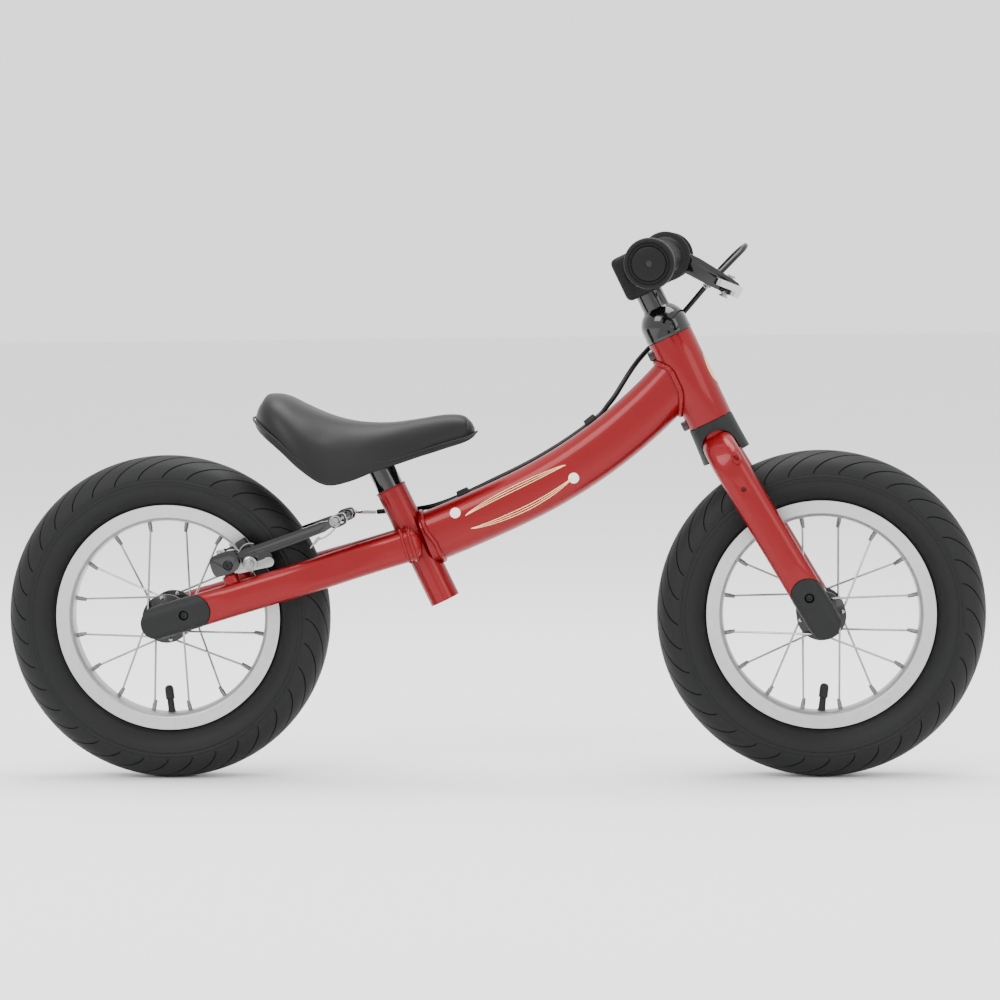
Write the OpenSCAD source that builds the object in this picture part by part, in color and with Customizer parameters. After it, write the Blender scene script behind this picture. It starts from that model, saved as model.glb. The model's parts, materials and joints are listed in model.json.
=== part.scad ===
// Child's balance bike with rear linear-pull brake.
// +X is forwards, +Z is up, the ground is z = 0 and the bike's middle plane is y = 0.

/* [Wheels] */
// Outer diameter of the tyres
tyre_d = 306; // [300:1:312]
// Distance between the axles
wheelbase = 614; // [606:1:622]
// Width of the tyres
tyre_w = 54; // [50:1:55]
// Diameter of the rims over their flanges
rim_d = 213.6; // [211:0.2:214]
// Width of the rims
rim_w = 26.4; // [25:0.2:27]
// Spokes in each wheel
spokes = 16; // [16]

/* [Frame] */
// Angle of the steering axis from the ground
head_angle = 65; // [64:0.5:66]
// Diameter of the head tube
head_d = 43; // [42:0.5:44]
// Length of the head tube
head_len = 87; // [84:1:90]
// Height of the main tube's oval section
main_h = 49; // [46:1:50]
// Width of the main tube's oval section
main_w = 36; // [34:1:38]
// Outer diameter of the seat tube
seat_d = 28.6; // [28.6]
// Length of the seat tube
seat_len = 117.5; // [112:0.5:120]
// Height of a chainstay's oval section
stay_h = 31; // [29:1:32]
// Width of a chainstay's oval section
stay_w = 20; // [18:1:20]

/* [Fork] */
// Height of a fork leg's oval section
leg_h = 31; // [29:1:32]
// Width of a fork leg's oval section
leg_w = 21; // [19:1:21]
// Angle of the fork legs from the ground
leg_angle = 59.5; // [59:0.5:60]

/* [Controls] */
// Overall width of the handlebar
bar_w = 380; // [370:5:390]
// Diameter of the handlebar
bar_d = 22.2; // [22.2]
// Length of a grip
grip_len = 94; // [90:1:96]
// Diameter of the seatpost and of the stem's quill
post_d = 25.4; // [25.4]

/* [Hidden] */
$fn = 64;

paint = "crimson";
dark = "dimgray";
soft_black = [0.13, 0.13, 0.13];
steel = "silver";

wall = 1.8;
fit = 0.05;
gap = 0.3;
axle_r = 5;
wheel_r = tyre_d / 2;
rim_r = rim_d / 2;
post_r = post_d / 2;
bar_r = bar_d / 2;

// Steering axis: the foot of the head tube
head_x = 205.2;
head_z = 334;
steerer_r = 14.3;
crown_r = 19;
bearing_h = 8;
dome_h = 30;

// Seat tube: its open lower end
seat_x = -45;
seat_z = 167.5;
seat_angle = 64.7;
socket_len = 26;
relief_len = 10;

// Main tube: a slack arc from the seat tube, then a tighter one to the head tube
main_x = -61.5;
main_z = 225.7;
main_slope = 21;
main_arcs = [[1300, 4.2], [472, 28]];

// Chainstays, seen in their own sloping plane that starts at the rear axle
stay_slope = 16.5;
stay_y = 43;
stay_bends = [[130, 22.6], [130, -22.6]];
stay_start = -16;
stay_bend_s = 120;
stay_out_s = 219.9;
stay_end = 242.9;
stay_sides = 24;

// Fork legs, in a plane that starts at the front axle
leg_y = 42;
leg_steps = [[171], [30, 90]];
leg_start = -16;
fork_boss_s = 140;

// Dropouts: the tube ends keep an inner plate, and an end cap hides the nut outside it
plate_in = 34;
plate_out = 41;
drop_back = -3;
cap_r = 15.6;
cap_screw_s = 23;

// Handlebar, in the plane square to the steering axis
bar_a = head_len + 68;
bar_sweep = 8.8;
bar_bend = 25;
bar_turn = 50;
bar_mid = 18;
bar_slant = 21.8;
bar_straight_y = bar_mid + bar_bend * (2 * sin(bar_turn) + sin(bar_sweep)) + bar_slant * cos(bar_turn);
bar_straight_p = bar_bend * (1 - 2 * cos(bar_turn) + cos(bar_sweep)) + bar_slant * sin(bar_turn);
clamp_y = 83;
grip_r = 16;
pad_len = 60;
flange_r = 22.5;
flange_w = 4;

// Brake lever: measured from the bar, along a line that points forwards and down
lever_dip = 49;
pivot_x = 60;
pivot_y = -3;

// Rear brake: pivots beside the rim, arms that point forwards
arm_slope = 18.9;
arm_x = -247;
arm_y = 38;
arm_z = 207;
boss_r = 7.5;
stud_r = 4;
pad_stud = [22, -8.2];
pad_angle = 33;
wire_s = 115.6;
wire_n = 3;

// Hub
flange_y = 20;
hub_r = 11;
hub_flange_r = 23;
hole_ring_r = 20;
spoke_r = 1;

// Cable routes, chosen by hand
cable_r = 2.5;
cable_y = 13;
clip_lean = 38;
route_front = [
    [210, -66, 467], [218, -58, 474], [228, -48, 484], [236, -36, 492], [239, -24, 496],
    [237, -12, 495], [230, 0, 489], [220, 11, 479], [209, 20, 467], [197, 27, 453],
    [184, 31, 438], [171, 32, 424], [159, 31, 412], [148, 28, 401], [138, 23, 390],
    [130, 18, 379], [123, 15, 368], [116, cable_y, 357], [109, cable_y, 348]
];
route_frame = [
    [109, cable_y, 348], [102, cable_y, 339.5], [86, cable_y, 327], [70, cable_y, 316],
    [53, cable_y, 305.5],
    [36, cable_y, 296], [18, cable_y, 287], [0, cable_y, 278.5],
    [-18, cable_y, 270], [-36, cable_y, 262], [-48, 14, 257.5]
];
route_rear = [
    [-48, 14, 257.5], [-58, 16, 254.5], [-68, 19, 252.5], [-78, 22, 251], [-88, 29, 250],
    [-96, 37, 249], [-104, 44, 248], [-113, 48, 247]
];
wire_route = [[-139, 22, 247], [-139, 0, 247], [-139, -34, 247]];
tail_route = [[-139, -44, 244], [-144, -46, 238], [-151, -46, 232], [-160, -45, 228], [-166, -44, 221]];

// Saddle: stations from tail to nose as [x, half width, crown height, rim height, underside height]
saddle_ribs = [
    [-223, 8, 341, 336, 336], [-218, 30, 354, 333, 335], [-208, 46, 361.5, 327, 332],
    [-192, 57, 361, 315, 327], [-172, 62, 351.5, 297, 318], [-150, 58, 342.5, 283, 308],
    [-128, 47, 337.5, 286, 308], [-106, 37, 336.5, 294.5, 308], [-84, 31, 338.5, 301, 308.5],
    [-62, 27, 341.5, 308, 312], [-42, 24, 343.7, 314, 316], [-26, 20, 342.8, 318, 319],
    [-17, 14, 337, 321, 321.5], [-13, 6, 330, 324, 324]
];
rib_sides = 24;
plate_s = 147;

module at_head() {
    translate([head_x, 0, head_z]) rotate([0, head_angle - 90, 0]) children();
}

module at_seat() {
    translate([seat_x, 0, seat_z]) rotate([0, seat_angle - 90, 0]) children();
}

module at_main() {
    translate([main_x, 0, main_z]) rotate([0, -main_slope, 0]) rotate([90, 0, 0]) children();
}

module at_stay() {
    translate([-wheelbase / 2, 0, wheel_r]) rotate([0, -stay_slope, 0]) children();
}

module at_leg() {
    translate([wheelbase / 2, 0, wheel_r]) rotate([0, leg_angle - 180, 0]) children();
}

module at_lever() {
    at_head() translate([lever_p(), -clamp_y, bar_a]) rotate([0, lever_dip, 0]) children();
}

module at_arm() {
    translate([arm_x, 0, arm_z]) rotate([0, -arm_slope, 0]) children();
}

module both_sides() {
    children();
    mirror([0, 1, 0]) children();
}

function lever_p() = bar_straight_p - (clamp_y - bar_straight_y) * tan(bar_sweep);

// Flat-sided oval section, w along x and h along y
module oval(w, h) {
    r = min(w, h) / 2;
    long = w > h ? [w / 2 - r, 0] : [0, h / 2 - r];
    for (s = [-1, 1]) translate(s * long) circle(r);
    square([w > h ? w - h : w, w > h ? h : h - w], center = true);
}

module ellipse(w, h) {
    scale([w / 2, h / 2]) circle(1);
}

// Carries a section along +X through straights [length] and bends [radius, angle]
module run(steps, i = 0) {
    if (i < len(steps)) {
        s = steps[i];
        if (len(s) == 1) {
            rotate([90, 0, 90]) linear_extrude(s[0]) children();
            translate([s[0], 0, 0]) run(steps, i + 1) children();
        } else {
            side = sign(s[1]);
            turn = abs(s[1]);
            translate([0, side * s[0], 0])
                rotate([0, 0, side > 0 ? -90 : 90 - turn])
                rotate_extrude(angle = turn) translate([s[0], 0]) children();
            translate([0, side * s[0], 0]) rotate([0, 0, s[1]])
                translate([0, -side * s[0], 0]) run(steps, i + 1) children();
        }
    }
}

module rod(r, from, to, sides = 64) {
    d = to - from;
    translate(from) rotate([0, acos(d[2] / norm(d)), atan2(d[1], d[0])])
        cylinder(r = r, h = norm(d), $fn = sides);
}

// Closed skin over rings of points, each ring with the same number of them
module skin(rings, sides) {
    n = len(rings);
    walls = [
        for (i = [0:n - 2], k = [0:sides - 1])
            let (a = i * sides + k, b = i * sides + (k + 1) % sides) [a + sides, b + sides, b, a]
    ];
    first = [for (k = [0:sides - 1]) k];
    last = [for (k = [0:sides - 1]) n * sides - 1 - k];
    polyhedron([for (ring = rings) each ring], concat([first], walls, [last]), convexity = 4);
}

// Round tube along a list of points
module cord(points, r, sides) {
    n = len(points);
    function along(i) = let (a = points[max(i - 1, 0)], b = points[min(i + 1, n - 1)])
        (b - a) / norm(b - a);
    function side_of(t) = let (c = cross(t, [0.2, 0.3, 1])) c / norm(c);
    skin([
        for (i = [0:n - 1]) let (t = along(i), u = side_of(t), v = cross(t, u)) [
            for (k = [0:sides - 1]) let (a = 360 * k / sides) points[i] + r * (cos(a) * u + sin(a) * v)
        ]
    ], sides);
}

// Centre line of a bent tube in its own plane, as [x, y, heading], for the same steps as run()
function trace(steps, at = [0, 0], h = 0, i = 0) = i == len(steps) ? [[at[0], at[1], h]] : let (
    s = steps[i],
    bend = len(s) == 2,
    side = bend ? sign(s[1]) : 1,
    turn = bend ? s[1] : 0,
    n = ceil(abs(turn) / 3.5),
    centre = bend ? at + side * s[0] * [-sin(h), cos(h)] : at,
    end = bend ? centre - side * s[0] * [-sin(h + turn), cos(h + turn)] : at + s[0] * [cos(h), sin(h)]
) concat(
    bend
        ? [
            for (j = [0:n - 1]) let (g = h + turn * j / n)
                concat(centre - side * s[0] * [-sin(g), cos(g)], g)
        ]
        : [concat(at, h)],
    trace(steps, end, h + turn, i + 1)
);

// Flat-sided oval ring across a traced point, with its long side upright
function oval_ring(p, w, h, sides) = [
    for (k = [0:sides - 1]) let (a = (k + 0.5) * 360 / sides, u = w / 2 * cos(a))
        [p[0] - u * sin(p[2]), p[1] + u * cos(p[2]), w / 2 * sin(a) + sign(sin(a)) * (h - w) / 2]
];

// ---- frame ----

module head_tube() {
    color(paint) at_head() difference() {
        cylinder(r = head_d / 2, h = head_len);
        translate([0, 0, -1]) cylinder(r = head_d / 2 - 2, h = head_len + 2);
    }
}

module main_path(shrink) {
    at_main() run(main_arcs) oval(main_h - 2 * shrink, main_w - 2 * shrink);
}

module main_tube() {
    color(paint) difference() {
        main_path(0);
        main_path(wall);
        at_head() translate([0, 0, -20]) cylinder(r = head_d / 2, h = head_len + 40);
        at_seat() translate([0, 0, -20]) cylinder(r = seat_d / 2, h = seat_len + 40);
    }
}

module seat_tube() {
    color(paint) at_seat() difference() {
        union() {
            cylinder(r = seat_d / 2, h = seat_len);
            translate([0, 0, seat_len - 16]) rotate([-90, 0, 0]) cylinder(r = 8, h = seat_d / 2 + 7);
        }
        translate([0, 0, -1]) cylinder(r = post_r + fit, h = seat_len + 2);
        translate([0, 0, socket_len]) cylinder(r = post_r + 0.4, h = relief_len);
        translate([0, 0, seat_len - 16]) rotate([-90, 0, 0]) cylinder(r = 4.1, h = 40);
    }
}

module seat_clamp_bolt() {
    color(steel) at_seat() translate([0, 0, seat_len - 16]) rotate([-90, 0, 0]) {
        translate([0, 0, post_r + 0.3]) cylinder(r = 4.1 - fit, h = 12);
        translate([0, 0, seat_d / 2 + 7.1]) difference() {
            cylinder(r = 7, h = 6);
            translate([0, 0, 2]) cylinder(r = 3.5, h = 5, $fn = 6);
        }
    }
}

// Round-ended prism that bounds an end cap, from the end round to its front arc
module end_prism(r, reach, low, high) {
    translate([0, high, 0]) rotate([90, 0, 0]) linear_extrude(high - low) {
        translate([-drop_back, 0]) circle(r);
        translate([reach - r, 0]) circle(r);
        translate([-drop_back, -r]) square([reach - r + drop_back, 2 * r]);
    }
}

// Takes the outer half, the inner skin and the axle hole out of a tube end on the -Y side
module dropout_cut(r, reach, mid) {
    end_prism(r + gap, reach + gap, -mid - 30, -plate_out);
    end_prism(r + gap, reach - 8, -plate_in, -mid + 30);
    translate([-drop_back, 0, 0]) rotate([90, 0, 0]) {
        difference() {
            cylinder(r = 60, h = mid + 30);
            translate([0, 0, -1]) cylinder(r = r, h = mid + 32);
            translate([0, -60, -1]) cube([160, 120, mid + 32]);
        }
    }
    rotate([90, 0, 0]) cylinder(r = axle_r + 0.1, h = 80);
}

// Oval stay along its bends, from one point on it to another, with a bullet end where tip is true
module stay_skin(from, to, shrink, tip) {
    w = stay_w - 2 * shrink;
    h = stay_h - 2 * shrink;
    line = trace(concat([[stay_bend_s - from]], stay_bends, [[to - stay_out_s]]));
    end = line[len(line) - 1];
    at_stay() translate([from, -stay_y, 0]) skin([
        for (p = line) oval_ring(p, w, h, stay_sides),
        if (tip) for (b = [15:15:75])
            oval_ring(end + [w / 2 * sin(b), 0, 0], w * cos(b), h * cos(b), stay_sides)
    ], stay_sides);
}

module chainstay() {
    difference() {
        stay_skin(stay_start, stay_end, 0, true);
        stay_skin(50, stay_end - 2, wall, false);
        at_stay() dropout_cut(cap_r, 48, stay_y);
        at_seat() translate([0, 0, -20]) cylinder(r = seat_d / 2, h = seat_len + 40);
    }
}

module chainstay_right() { color(paint) chainstay(); }

module chainstay_left() { color(paint) mirror([0, 1, 0]) chainstay(); }

module brake_bosses() {
    color(paint) both_sides() difference() {
        at_arm() translate([0, -arm_y, 0]) {
            translate([0, 0, -30]) cylinder(r = boss_r, h = 30 - 10.8);
            translate([0, 0, -12]) cylinder(r = stud_r, h = 22);
        }
        stay_skin(0, stay_end, 0, false);
    }
}

module cable_clips() {
    color(soft_black) {
        for (p = [[94, 333.25, 38], [-27, 266, 24]])
            translate([p[0], cable_y, p[1]]) rotate([0, -p[2], 0]) rotate([-clip_lean, 0, 0]) difference() {
                translate([-6, -4.6, -2.4]) cube([12, 9.2, 6.6]);
                translate([-20, 0, 0]) rotate([0, 90, 0]) cylinder(r = cable_r + 0.3, h = 40);
            }
        at_head() for (a = [6, head_len - 9]) difference() {
            translate([-head_d / 2 - 4.5, -4, a - 5]) cube([8, 8, 9]);
            translate([0, 0, -5]) cylinder(r = head_d / 2, h = head_len + 10);
        }
    }
}

module brake_cable_frame() { color(soft_black) cord(route_frame, cable_r, 10); }

module brake_cable_front() { color(soft_black) cord(route_front, cable_r, 10); }

module brake_cable_rear() { color(soft_black) cord(route_rear, cable_r, 10); }

module headset_bearings() {
    color(steel) at_head() for (a = [0.5, head_len - bearing_h - 0.5]) translate([0, 0, a]) difference() {
        cylinder(r = head_d / 2 - 2 - 0.02, h = bearing_h);
        translate([0, 0, -1]) cylinder(r = steerer_r + fit, h = bearing_h + 2);
    }
}

module axle_set() {
    rotate([90, 0, 0]) {
        translate([0, 0, -49]) cylinder(r = axle_r, h = 98);
        for (s = [-1, 1]) translate([0, 0, s * 31.5 - 2.4]) cylinder(r = 8.5, h = 4.8, $fn = 6);
    }
}

module nut_pair() {
    both_sides() rotate([90, 0, 0]) translate([0, 0, plate_out + 0.02]) difference() {
        union() {
            cylinder(r = 9.5, h = 1.6);
            translate([0, 0, 1.6]) cylinder(r = 8.4, h = 5.4, $fn = 6);
        }
        translate([0, 0, -1]) cylinder(r = axle_r + 0.02, h = 12);
    }
}

module at_rear() { translate([-wheelbase / 2, 0, wheel_r]) children(); }

module at_front() { translate([wheelbase / 2, 0, wheel_r]) children(); }

module rear_axle() { color(steel) at_rear() axle_set(); }

module rear_axle_nuts() { color(steel) at_rear() nut_pair(); }

module front_axle() { color(steel) at_front() axle_set(); }

module front_axle_nuts() { color(steel) at_front() nut_pair(); }

// Hollow shell that carries the tube's oval on over the nut
module end_cap(w, h, mid, reach) {
    difference() {
        intersection() {
            translate([-40, -mid, 0]) rotate([90, 0, 90]) linear_extrude(100) oval(w + 2, h + 0.6);
            end_prism(cap_r, reach, -mid - 30, -plate_out - 0.1);
        }
        rotate([90, 0, 0]) cylinder(r = 10.2, h = mid + 7.6);
        translate([cap_screw_s, 0, 0]) rotate([90, 0, 0]) {
            cylinder(r = 2.2, h = 80);
            translate([0, 0, mid + 6]) cylinder(r = 4.4, h = 30);
        }
    }
}

module cap_screw(mid) {
    translate([cap_screw_s, 0, 0]) rotate([90, 0, 0]) {
        translate([0, 0, plate_out + 0.1]) cylinder(r = 2.1, h = mid + 6 - plate_out);
        translate([0, 0, mid + 6.1]) difference() {
            cylinder(r = 4.2, h = 3);
            translate([0, 0, 1]) cylinder(r = 1.8, h = 4, $fn = 6);
        }
    }
}

module rear_end_caps() { color(dark) both_sides() at_stay() end_cap(stay_w, stay_h, stay_y, 48); }

module rear_cap_screws() { color(steel) both_sides() at_stay() cap_screw(stay_y); }

module front_end_caps() { color(dark) both_sides() at_leg() end_cap(leg_w, leg_h, leg_y, 41); }

module front_cap_screws() { color(steel) both_sides() at_leg() cap_screw(leg_y); }

// ---- fork ----

module steerer_tube() {
    color(paint) at_head() difference() {
        translate([0, 0, -34]) cylinder(r = steerer_r, h = head_len + 34 + 17);
        translate([0, 0, -35]) cylinder(r = post_r + fit, h = head_len + 80);
    }
}

module fork_crown() {
    color(paint) at_head() translate([0, 0, -34]) difference() {
        cylinder(r = crown_r, h = 33);
        translate([0, 0, -1]) cylinder(r = steerer_r + 0.02, h = 40);
    }
}

module leg_solid(shrink) {
    at_leg() translate([leg_start, -leg_y, 0]) run(leg_steps) oval(leg_w - 2 * shrink, leg_h - 2 * shrink);
}

module fork_leg() {
    difference() {
        leg_solid(0);
        difference() {
            leg_solid(wall);
            at_leg() translate([-40, -80, -40]) cube([82, 80, 80]);
        }
        at_leg() dropout_cut(cap_r, 41, leg_y);
        at_head() translate([0, 0, -60]) cylinder(r = crown_r, h = 80);
        at_leg() translate([fork_boss_s, -leg_y, 0]) rotate([90, 0, 0]) cylinder(r = 2.5, h = 40);
    }
}

module fork_leg_right() { color(paint) fork_leg(); }

module fork_leg_left() { color(paint) mirror([0, 1, 0]) fork_leg(); }

module crown_cover() {
    color(dark) difference() {
        at_head() difference() {
            translate([0, 0, -35.5]) cylinder(r1 = 23.5, r2 = head_d / 2, h = 35);
            translate([0, 0, -40]) cylinder(r = crown_r + 0.3, h = 45);
        }
        at_leg() {
            translate([0, 60, 0]) rotate([90, 0, 0]) cylinder(r = 100, h = 120);
            translate([50, -60, -leg_h / 2 - 0.8]) cube([132.8, 120, leg_h + 1.6]);
            translate([182.8, 60, 0]) rotate([90, 0, 0]) cylinder(r = leg_h / 2 + 0.8, h = 120);
        }
    }
}

module headset_dome() {
    color(soft_black) at_head() translate([0, 0, head_len + gap]) difference() {
        union() {
            cylinder(r = 22, h = 11);
            translate([0, 0, 11]) rotate_extrude() intersection() {
                union() {
                    square([12, dome_h - 11]);
                    translate([5, 0]) ellipse(34, 2 * (dome_h - 11));
                }
                square([30, 30]);
            }
        }
        translate([0, 0, -1]) cylinder(r = 18.6, h = 14);
        translate([0, 0, 10]) cylinder(r1 = 18.6, r2 = 14, h = 16);
        translate([0, 0, -1]) cylinder(r = post_r + gap, h = dome_h + 10);
    }
}

module headset_locknut() {
    color(steel) at_head() translate([0, 0, head_len + gap]) difference() {
        cylinder(r = 18.3, h = 10, $fn = 6);
        translate([0, 0, -1]) cylinder(r = steerer_r + 0.02, h = 12);
    }
}

// ---- handlebar ----

module stem_tube() {
    color(soft_black) at_head() difference() {
        translate([0, 0, 22]) cylinder(r = post_r, h = bar_a - 22);
        translate([0, 0, 10]) cylinder(r = post_r - 2.2, h = bar_a);
        translate([0, 60, bar_a]) rotate([90, 0, 0]) cylinder(r = bar_r + 0.02, h = 120);
        translate([0, 0, 22]) rotate([0, 30, 0]) translate([-40, -40, -40]) cube([80, 80, 40]);
    }
}

module expander_wedge() {
    color(steel) at_head() difference() {
        cylinder(r = post_r - 0.05, h = 40);
        translate([0, 0, 21.6]) rotate([0, 30, 0]) translate([-40, -40, 0]) cube([80, 80, 80]);
        translate([0, 0, -1]) cylinder(r = 4.02, h = 60);
    }
}

module expander_bolt() {
    color(steel) at_head() {
        translate([0, 0, 2]) cylinder(r = 4, h = bar_a + bar_r - 1);
        translate([0, 0, bar_a + bar_r + 1]) difference() {
            cylinder(r = 6.5, h = 7);
            translate([0, 0, 3]) cylinder(r = 3.4, h = 5, $fn = 6);
        }
    }
}

// Centre line of the bar's right half: bend forwards, slant, then sweep back to the end
function bar_half(inset) = let (
    foot = [bar_bend * (1 - cos(bar_turn)) + bar_slant * sin(bar_turn),
        -bar_mid - bar_bend * sin(bar_turn) - bar_slant * cos(bar_turn)],
    end_y = bar_w / 2 - inset
) [
    for (t = [0:12.5:bar_turn]) [bar_bend * (1 - cos(t)), -bar_mid - bar_bend * sin(t), 0],
    for (h = [bar_turn:-9.8:-bar_sweep - 0.01])
        [foot[0] + bar_bend * (cos(h) - cos(bar_turn)), foot[1] + bar_bend * (sin(h) - sin(bar_turn)), 0],
    [bar_straight_p - (end_y - bar_straight_y) * tan(bar_sweep), -end_y, 0]
];

module bar_solid(r, inset = 4) {
    half = bar_half(inset);
    n = len(half);
    at_head() translate([0, 0, bar_a]) cord(concat(
        [for (i = [n - 1:-1:0]) half[i]], [for (p = half) [p[0], -p[1], 0]]), r, 24);
}

module handlebar() {
    color(soft_black) difference() {
        bar_solid(bar_r);
        bar_solid(bar_r - wall, 3);
        at_head() translate([0, 0, bar_a - 30]) cylinder(r = 4.2, h = 60);
    }
}

module rounded_square(w, h, r) {
    for (x = [-1, 1], y = [-1, 1]) translate([x * (w / 2 - r), y * (h / 2 - r)]) circle(r);
    square([w, h - 2 * r], center = true);
    square([w - 2 * r, h], center = true);
}

module handlebar_pad() {
    color(dark) difference() {
        at_head() translate([0, 0, head_len + 66]) rotate([90, 0, 0]) linear_extrude(pad_len, center = true)
            rounded_square(40, 42, 5);
        at_head() translate([0, 0, bar_a]) {
            rod(bar_r + 2, [0, -20, 0], [0, 20, 0]);
            for (s = [-1, 1]) {
                rod(bar_r + 2, [-0.6, s * 14, 0], [4.2, s * 36, 0]);
                rod(bar_r + 0.9, [-0.4, s * 28, 0], [11.3, s * 39.7, 0]);
            }
        }
        at_head() {
            cylinder(r = post_r + gap, h = bar_a);
            cylinder(r = 7.5, h = bar_a + bar_r + 8.6);
        }
    }
}

// Moves to the outer end of the bar's straight on -Y, with +Z pointing outwards
module at_bar_end() {
    at_head() translate([bar_straight_p - (bar_w / 2 - bar_straight_y) * tan(bar_sweep), -bar_w / 2, bar_a])
        rotate([0, 0, -bar_sweep]) rotate([90, 0, 0]) children();
}

module grip() {
    at_bar_end() translate([0, 0, -grip_len]) difference() {
        union() {
            cylinder(r = flange_r, h = flange_w);
            cylinder(r = grip_r, h = grip_len);
            translate([0, 0, grip_len - 9]) cylinder(r = flange_r, h = 9);
        }
        translate([0, 0, -1]) cylinder(r = bar_r + 0.02, h = grip_len - 2.4);
    }
}

module grip_right() { color(dark) grip(); }

module grip_left() { color(dark) mirror([0, 1, 0]) grip(); }

// Slanting body that reaches forwards and down from the bar clamp
module lever_body() {
    translate([-4, 8.5, 0]) rotate([90, 0, 0]) linear_extrude(17)
        polygon([[8, 12], [14, -8], [42, -10], [62, -11.5], [74, -7], [75, 0], [70, 3]]);
}

module lever_bracket() {
    color(soft_black) difference() {
        at_lever() {
            rotate([90, 0, 0]) cylinder(r = 14.5, h = 13, center = true);
            lever_body();
        }
        at_lever() rotate([0, -lever_dip, 0]) rotate([0, 0, -bar_sweep]) rotate([90, 0, 0])
            cylinder(r = bar_r + 0.05, h = 60, center = true);
        at_lever() {
            translate([pivot_x, pivot_y, -20]) cylinder(r = 2.5, h = 40);
            translate([42, -20, -6.3]) cube([50, 22, 6.6]);
        }
    }
}

module lever_pivot_pin() {
    color(steel) at_lever() translate([pivot_x, pivot_y, -13]) {
        cylinder(r = 2.45, h = 18);
        translate([0, 0, -2]) cylinder(r = 4, h = 2);
    }
}

module lever_blade() {
    color(steel) at_lever() difference() {
        translate([0, 0, -6]) linear_extrude(6) polygon([
            [54, 0], [66, 0], [73, -12], [74, -24], [68, -42], [61, -60], [58, -74], [56, -80],
            [50, -81], [47, -76], [49, -64], [55, -46], [62, -28], [62, -16], [54, -9]
        ]);
        translate([pivot_x, pivot_y, -20]) cylinder(r = 2.5, h = 40);
    }
}

module cable_adjuster() {
    color(steel) difference() {
        rod(4.2, [204, -71.5, 461.5], [209.7, -66.28, 466.72]);
        rod(1.2, [202, -73.5, 459.5], [213, -63, 470]);
        at_lever() lever_body();
    }
}

// ---- rear brake ----

module arm_shape() {
    at_arm() difference() {
        union() {
            translate([-13, -arm_y - 9, -10.5]) cube([27, 18, 21]);
            translate([10, -arm_y, -4.5]) cube([100, 6, 11]);
            translate([14, -arm_y - 1, -14]) cube([30, 5, 12]);
            translate([104, -arm_y - 1, -3.5]) cube([17, 8, 12]);
        }
        translate([0, -arm_y, -20]) cylinder(r = stud_r + fit, h = 40);
        translate([pad_stud[0], 0, pad_stud[1]]) rotate([90, 0, 0]) cylinder(r = 3.1, h = 60);
        translate([wire_s, 0, wire_n]) rotate([90, 0, 0]) cylinder(r = 4.2, h = 60);
    }
}

module brake_arm_right() { color(soft_black) arm_shape(); }

module brake_arm_left() { color(soft_black) mirror([0, 1, 0]) arm_shape(); }

module pad_set() {
    at_arm() translate([pad_stud[0], 0, pad_stud[1]]) {
        rotate([90, 0, 0]) translate([0, 0, 23]) cylinder(r = 3, h = 28);
        rotate([90, 0, 0]) translate([0, 0, arm_y + 4.2]) cylinder(r = 5, h = 4, $fn = 6);
        rotate([0, arm_slope - pad_angle, 0]) translate([-5, -24, -24]) cube([10.4, 9.2, 48]);
    }
}

module brake_pads_right() { color(dark) pad_set(); }

module brake_pads_left() { color(dark) mirror([0, 1, 0]) pad_set(); }

module brake_noodle() {
    color(steel) translate([-114.4, 48, 247]) rotate([0, 0, 180])
        run([[9.6], [15, 90], [11]]) circle(2.25);
}

module brake_wire() {
    color(steel) {
        cord(wire_route, 0.8, 8);
        cord(tail_route, 0.8, 8);
    }
}

// ---- wheels, about the origin with their axle along Y ----

module spin() { rotate([90, 0, 0]) children(); }

module tyre() {
    section_h = (wheel_r - rim_r + 0.6) / 2;
    section_r = wheel_r - section_h;
    spin() rotate_extrude($fn = 120) difference() {
        union() {
            translate([section_r, 0]) ellipse(2 * section_h, tyre_w);
            for (s = [-1, 1]) translate([rim_r - 6, s * 9.4 - 1.4]) square([9, 2.8]);
        }
        translate([section_r, 0]) ellipse(2 * section_h - 7, tyre_w - 7);
        translate([rim_r - 10, -8]) square([18, 16]);
    }
}

module inner_tube() {
    spin() difference() {
        union() {
            rotate_extrude($fn = 120) translate([rim_r + 21.5, 0]) circle(19);
            rotate([90, 0, 0]) translate([0, 0, 66]) cylinder(r = 3.6, h = rim_r - 50);
        }
        rotate_extrude($fn = 120) translate([rim_r + 21.5, 0]) circle(18);
    }
}

module rim() {
    outer = rim_w / 2;
    bed = rim_r - 15.8;
    spin() difference() {
        rotate_extrude($fn = 120) polygon([
            [rim_r, outer], [rim_r - 12, outer - 0.3], [rim_r - 14.5, outer - 3.5], [bed, outer - 9],
            [bed, 9 - outer], [rim_r - 14.5, 3.5 - outer], [rim_r - 12, 0.3 - outer], [rim_r, -outer],
            [rim_r, 2.2 - outer], [rim_r - 11, 2.4 - outer], [rim_r - 12.8, 4.8 - outer],
            [bed + 2.4, 9.5 - outer], [bed + 2.4, outer - 9.5], [rim_r - 12.8, outer - 4.8],
            [rim_r - 11, outer - 2.4], [rim_r, outer - 2.2]
        ]);
        for (k = [0:spokes - 1])
            rotate([0, 0, nipple_turn(k)]) rotate([0, 90, 0]) cylinder(r = 2.7, h = rim_r);
        rotate([90, 0, 0]) cylinder(r = 3.9, h = rim_r);
    }
}

function nipple_turn(k) = (k + 0.5) * 360 / spokes;
function lace(k) = k % 4 < 2 ? 1 : -1;
function flange_side(k) = k % 2 == 0 ? 1 : -1;
function polar(r, turn, y) = [r * cos(turn), r * sin(turn), y];

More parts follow.
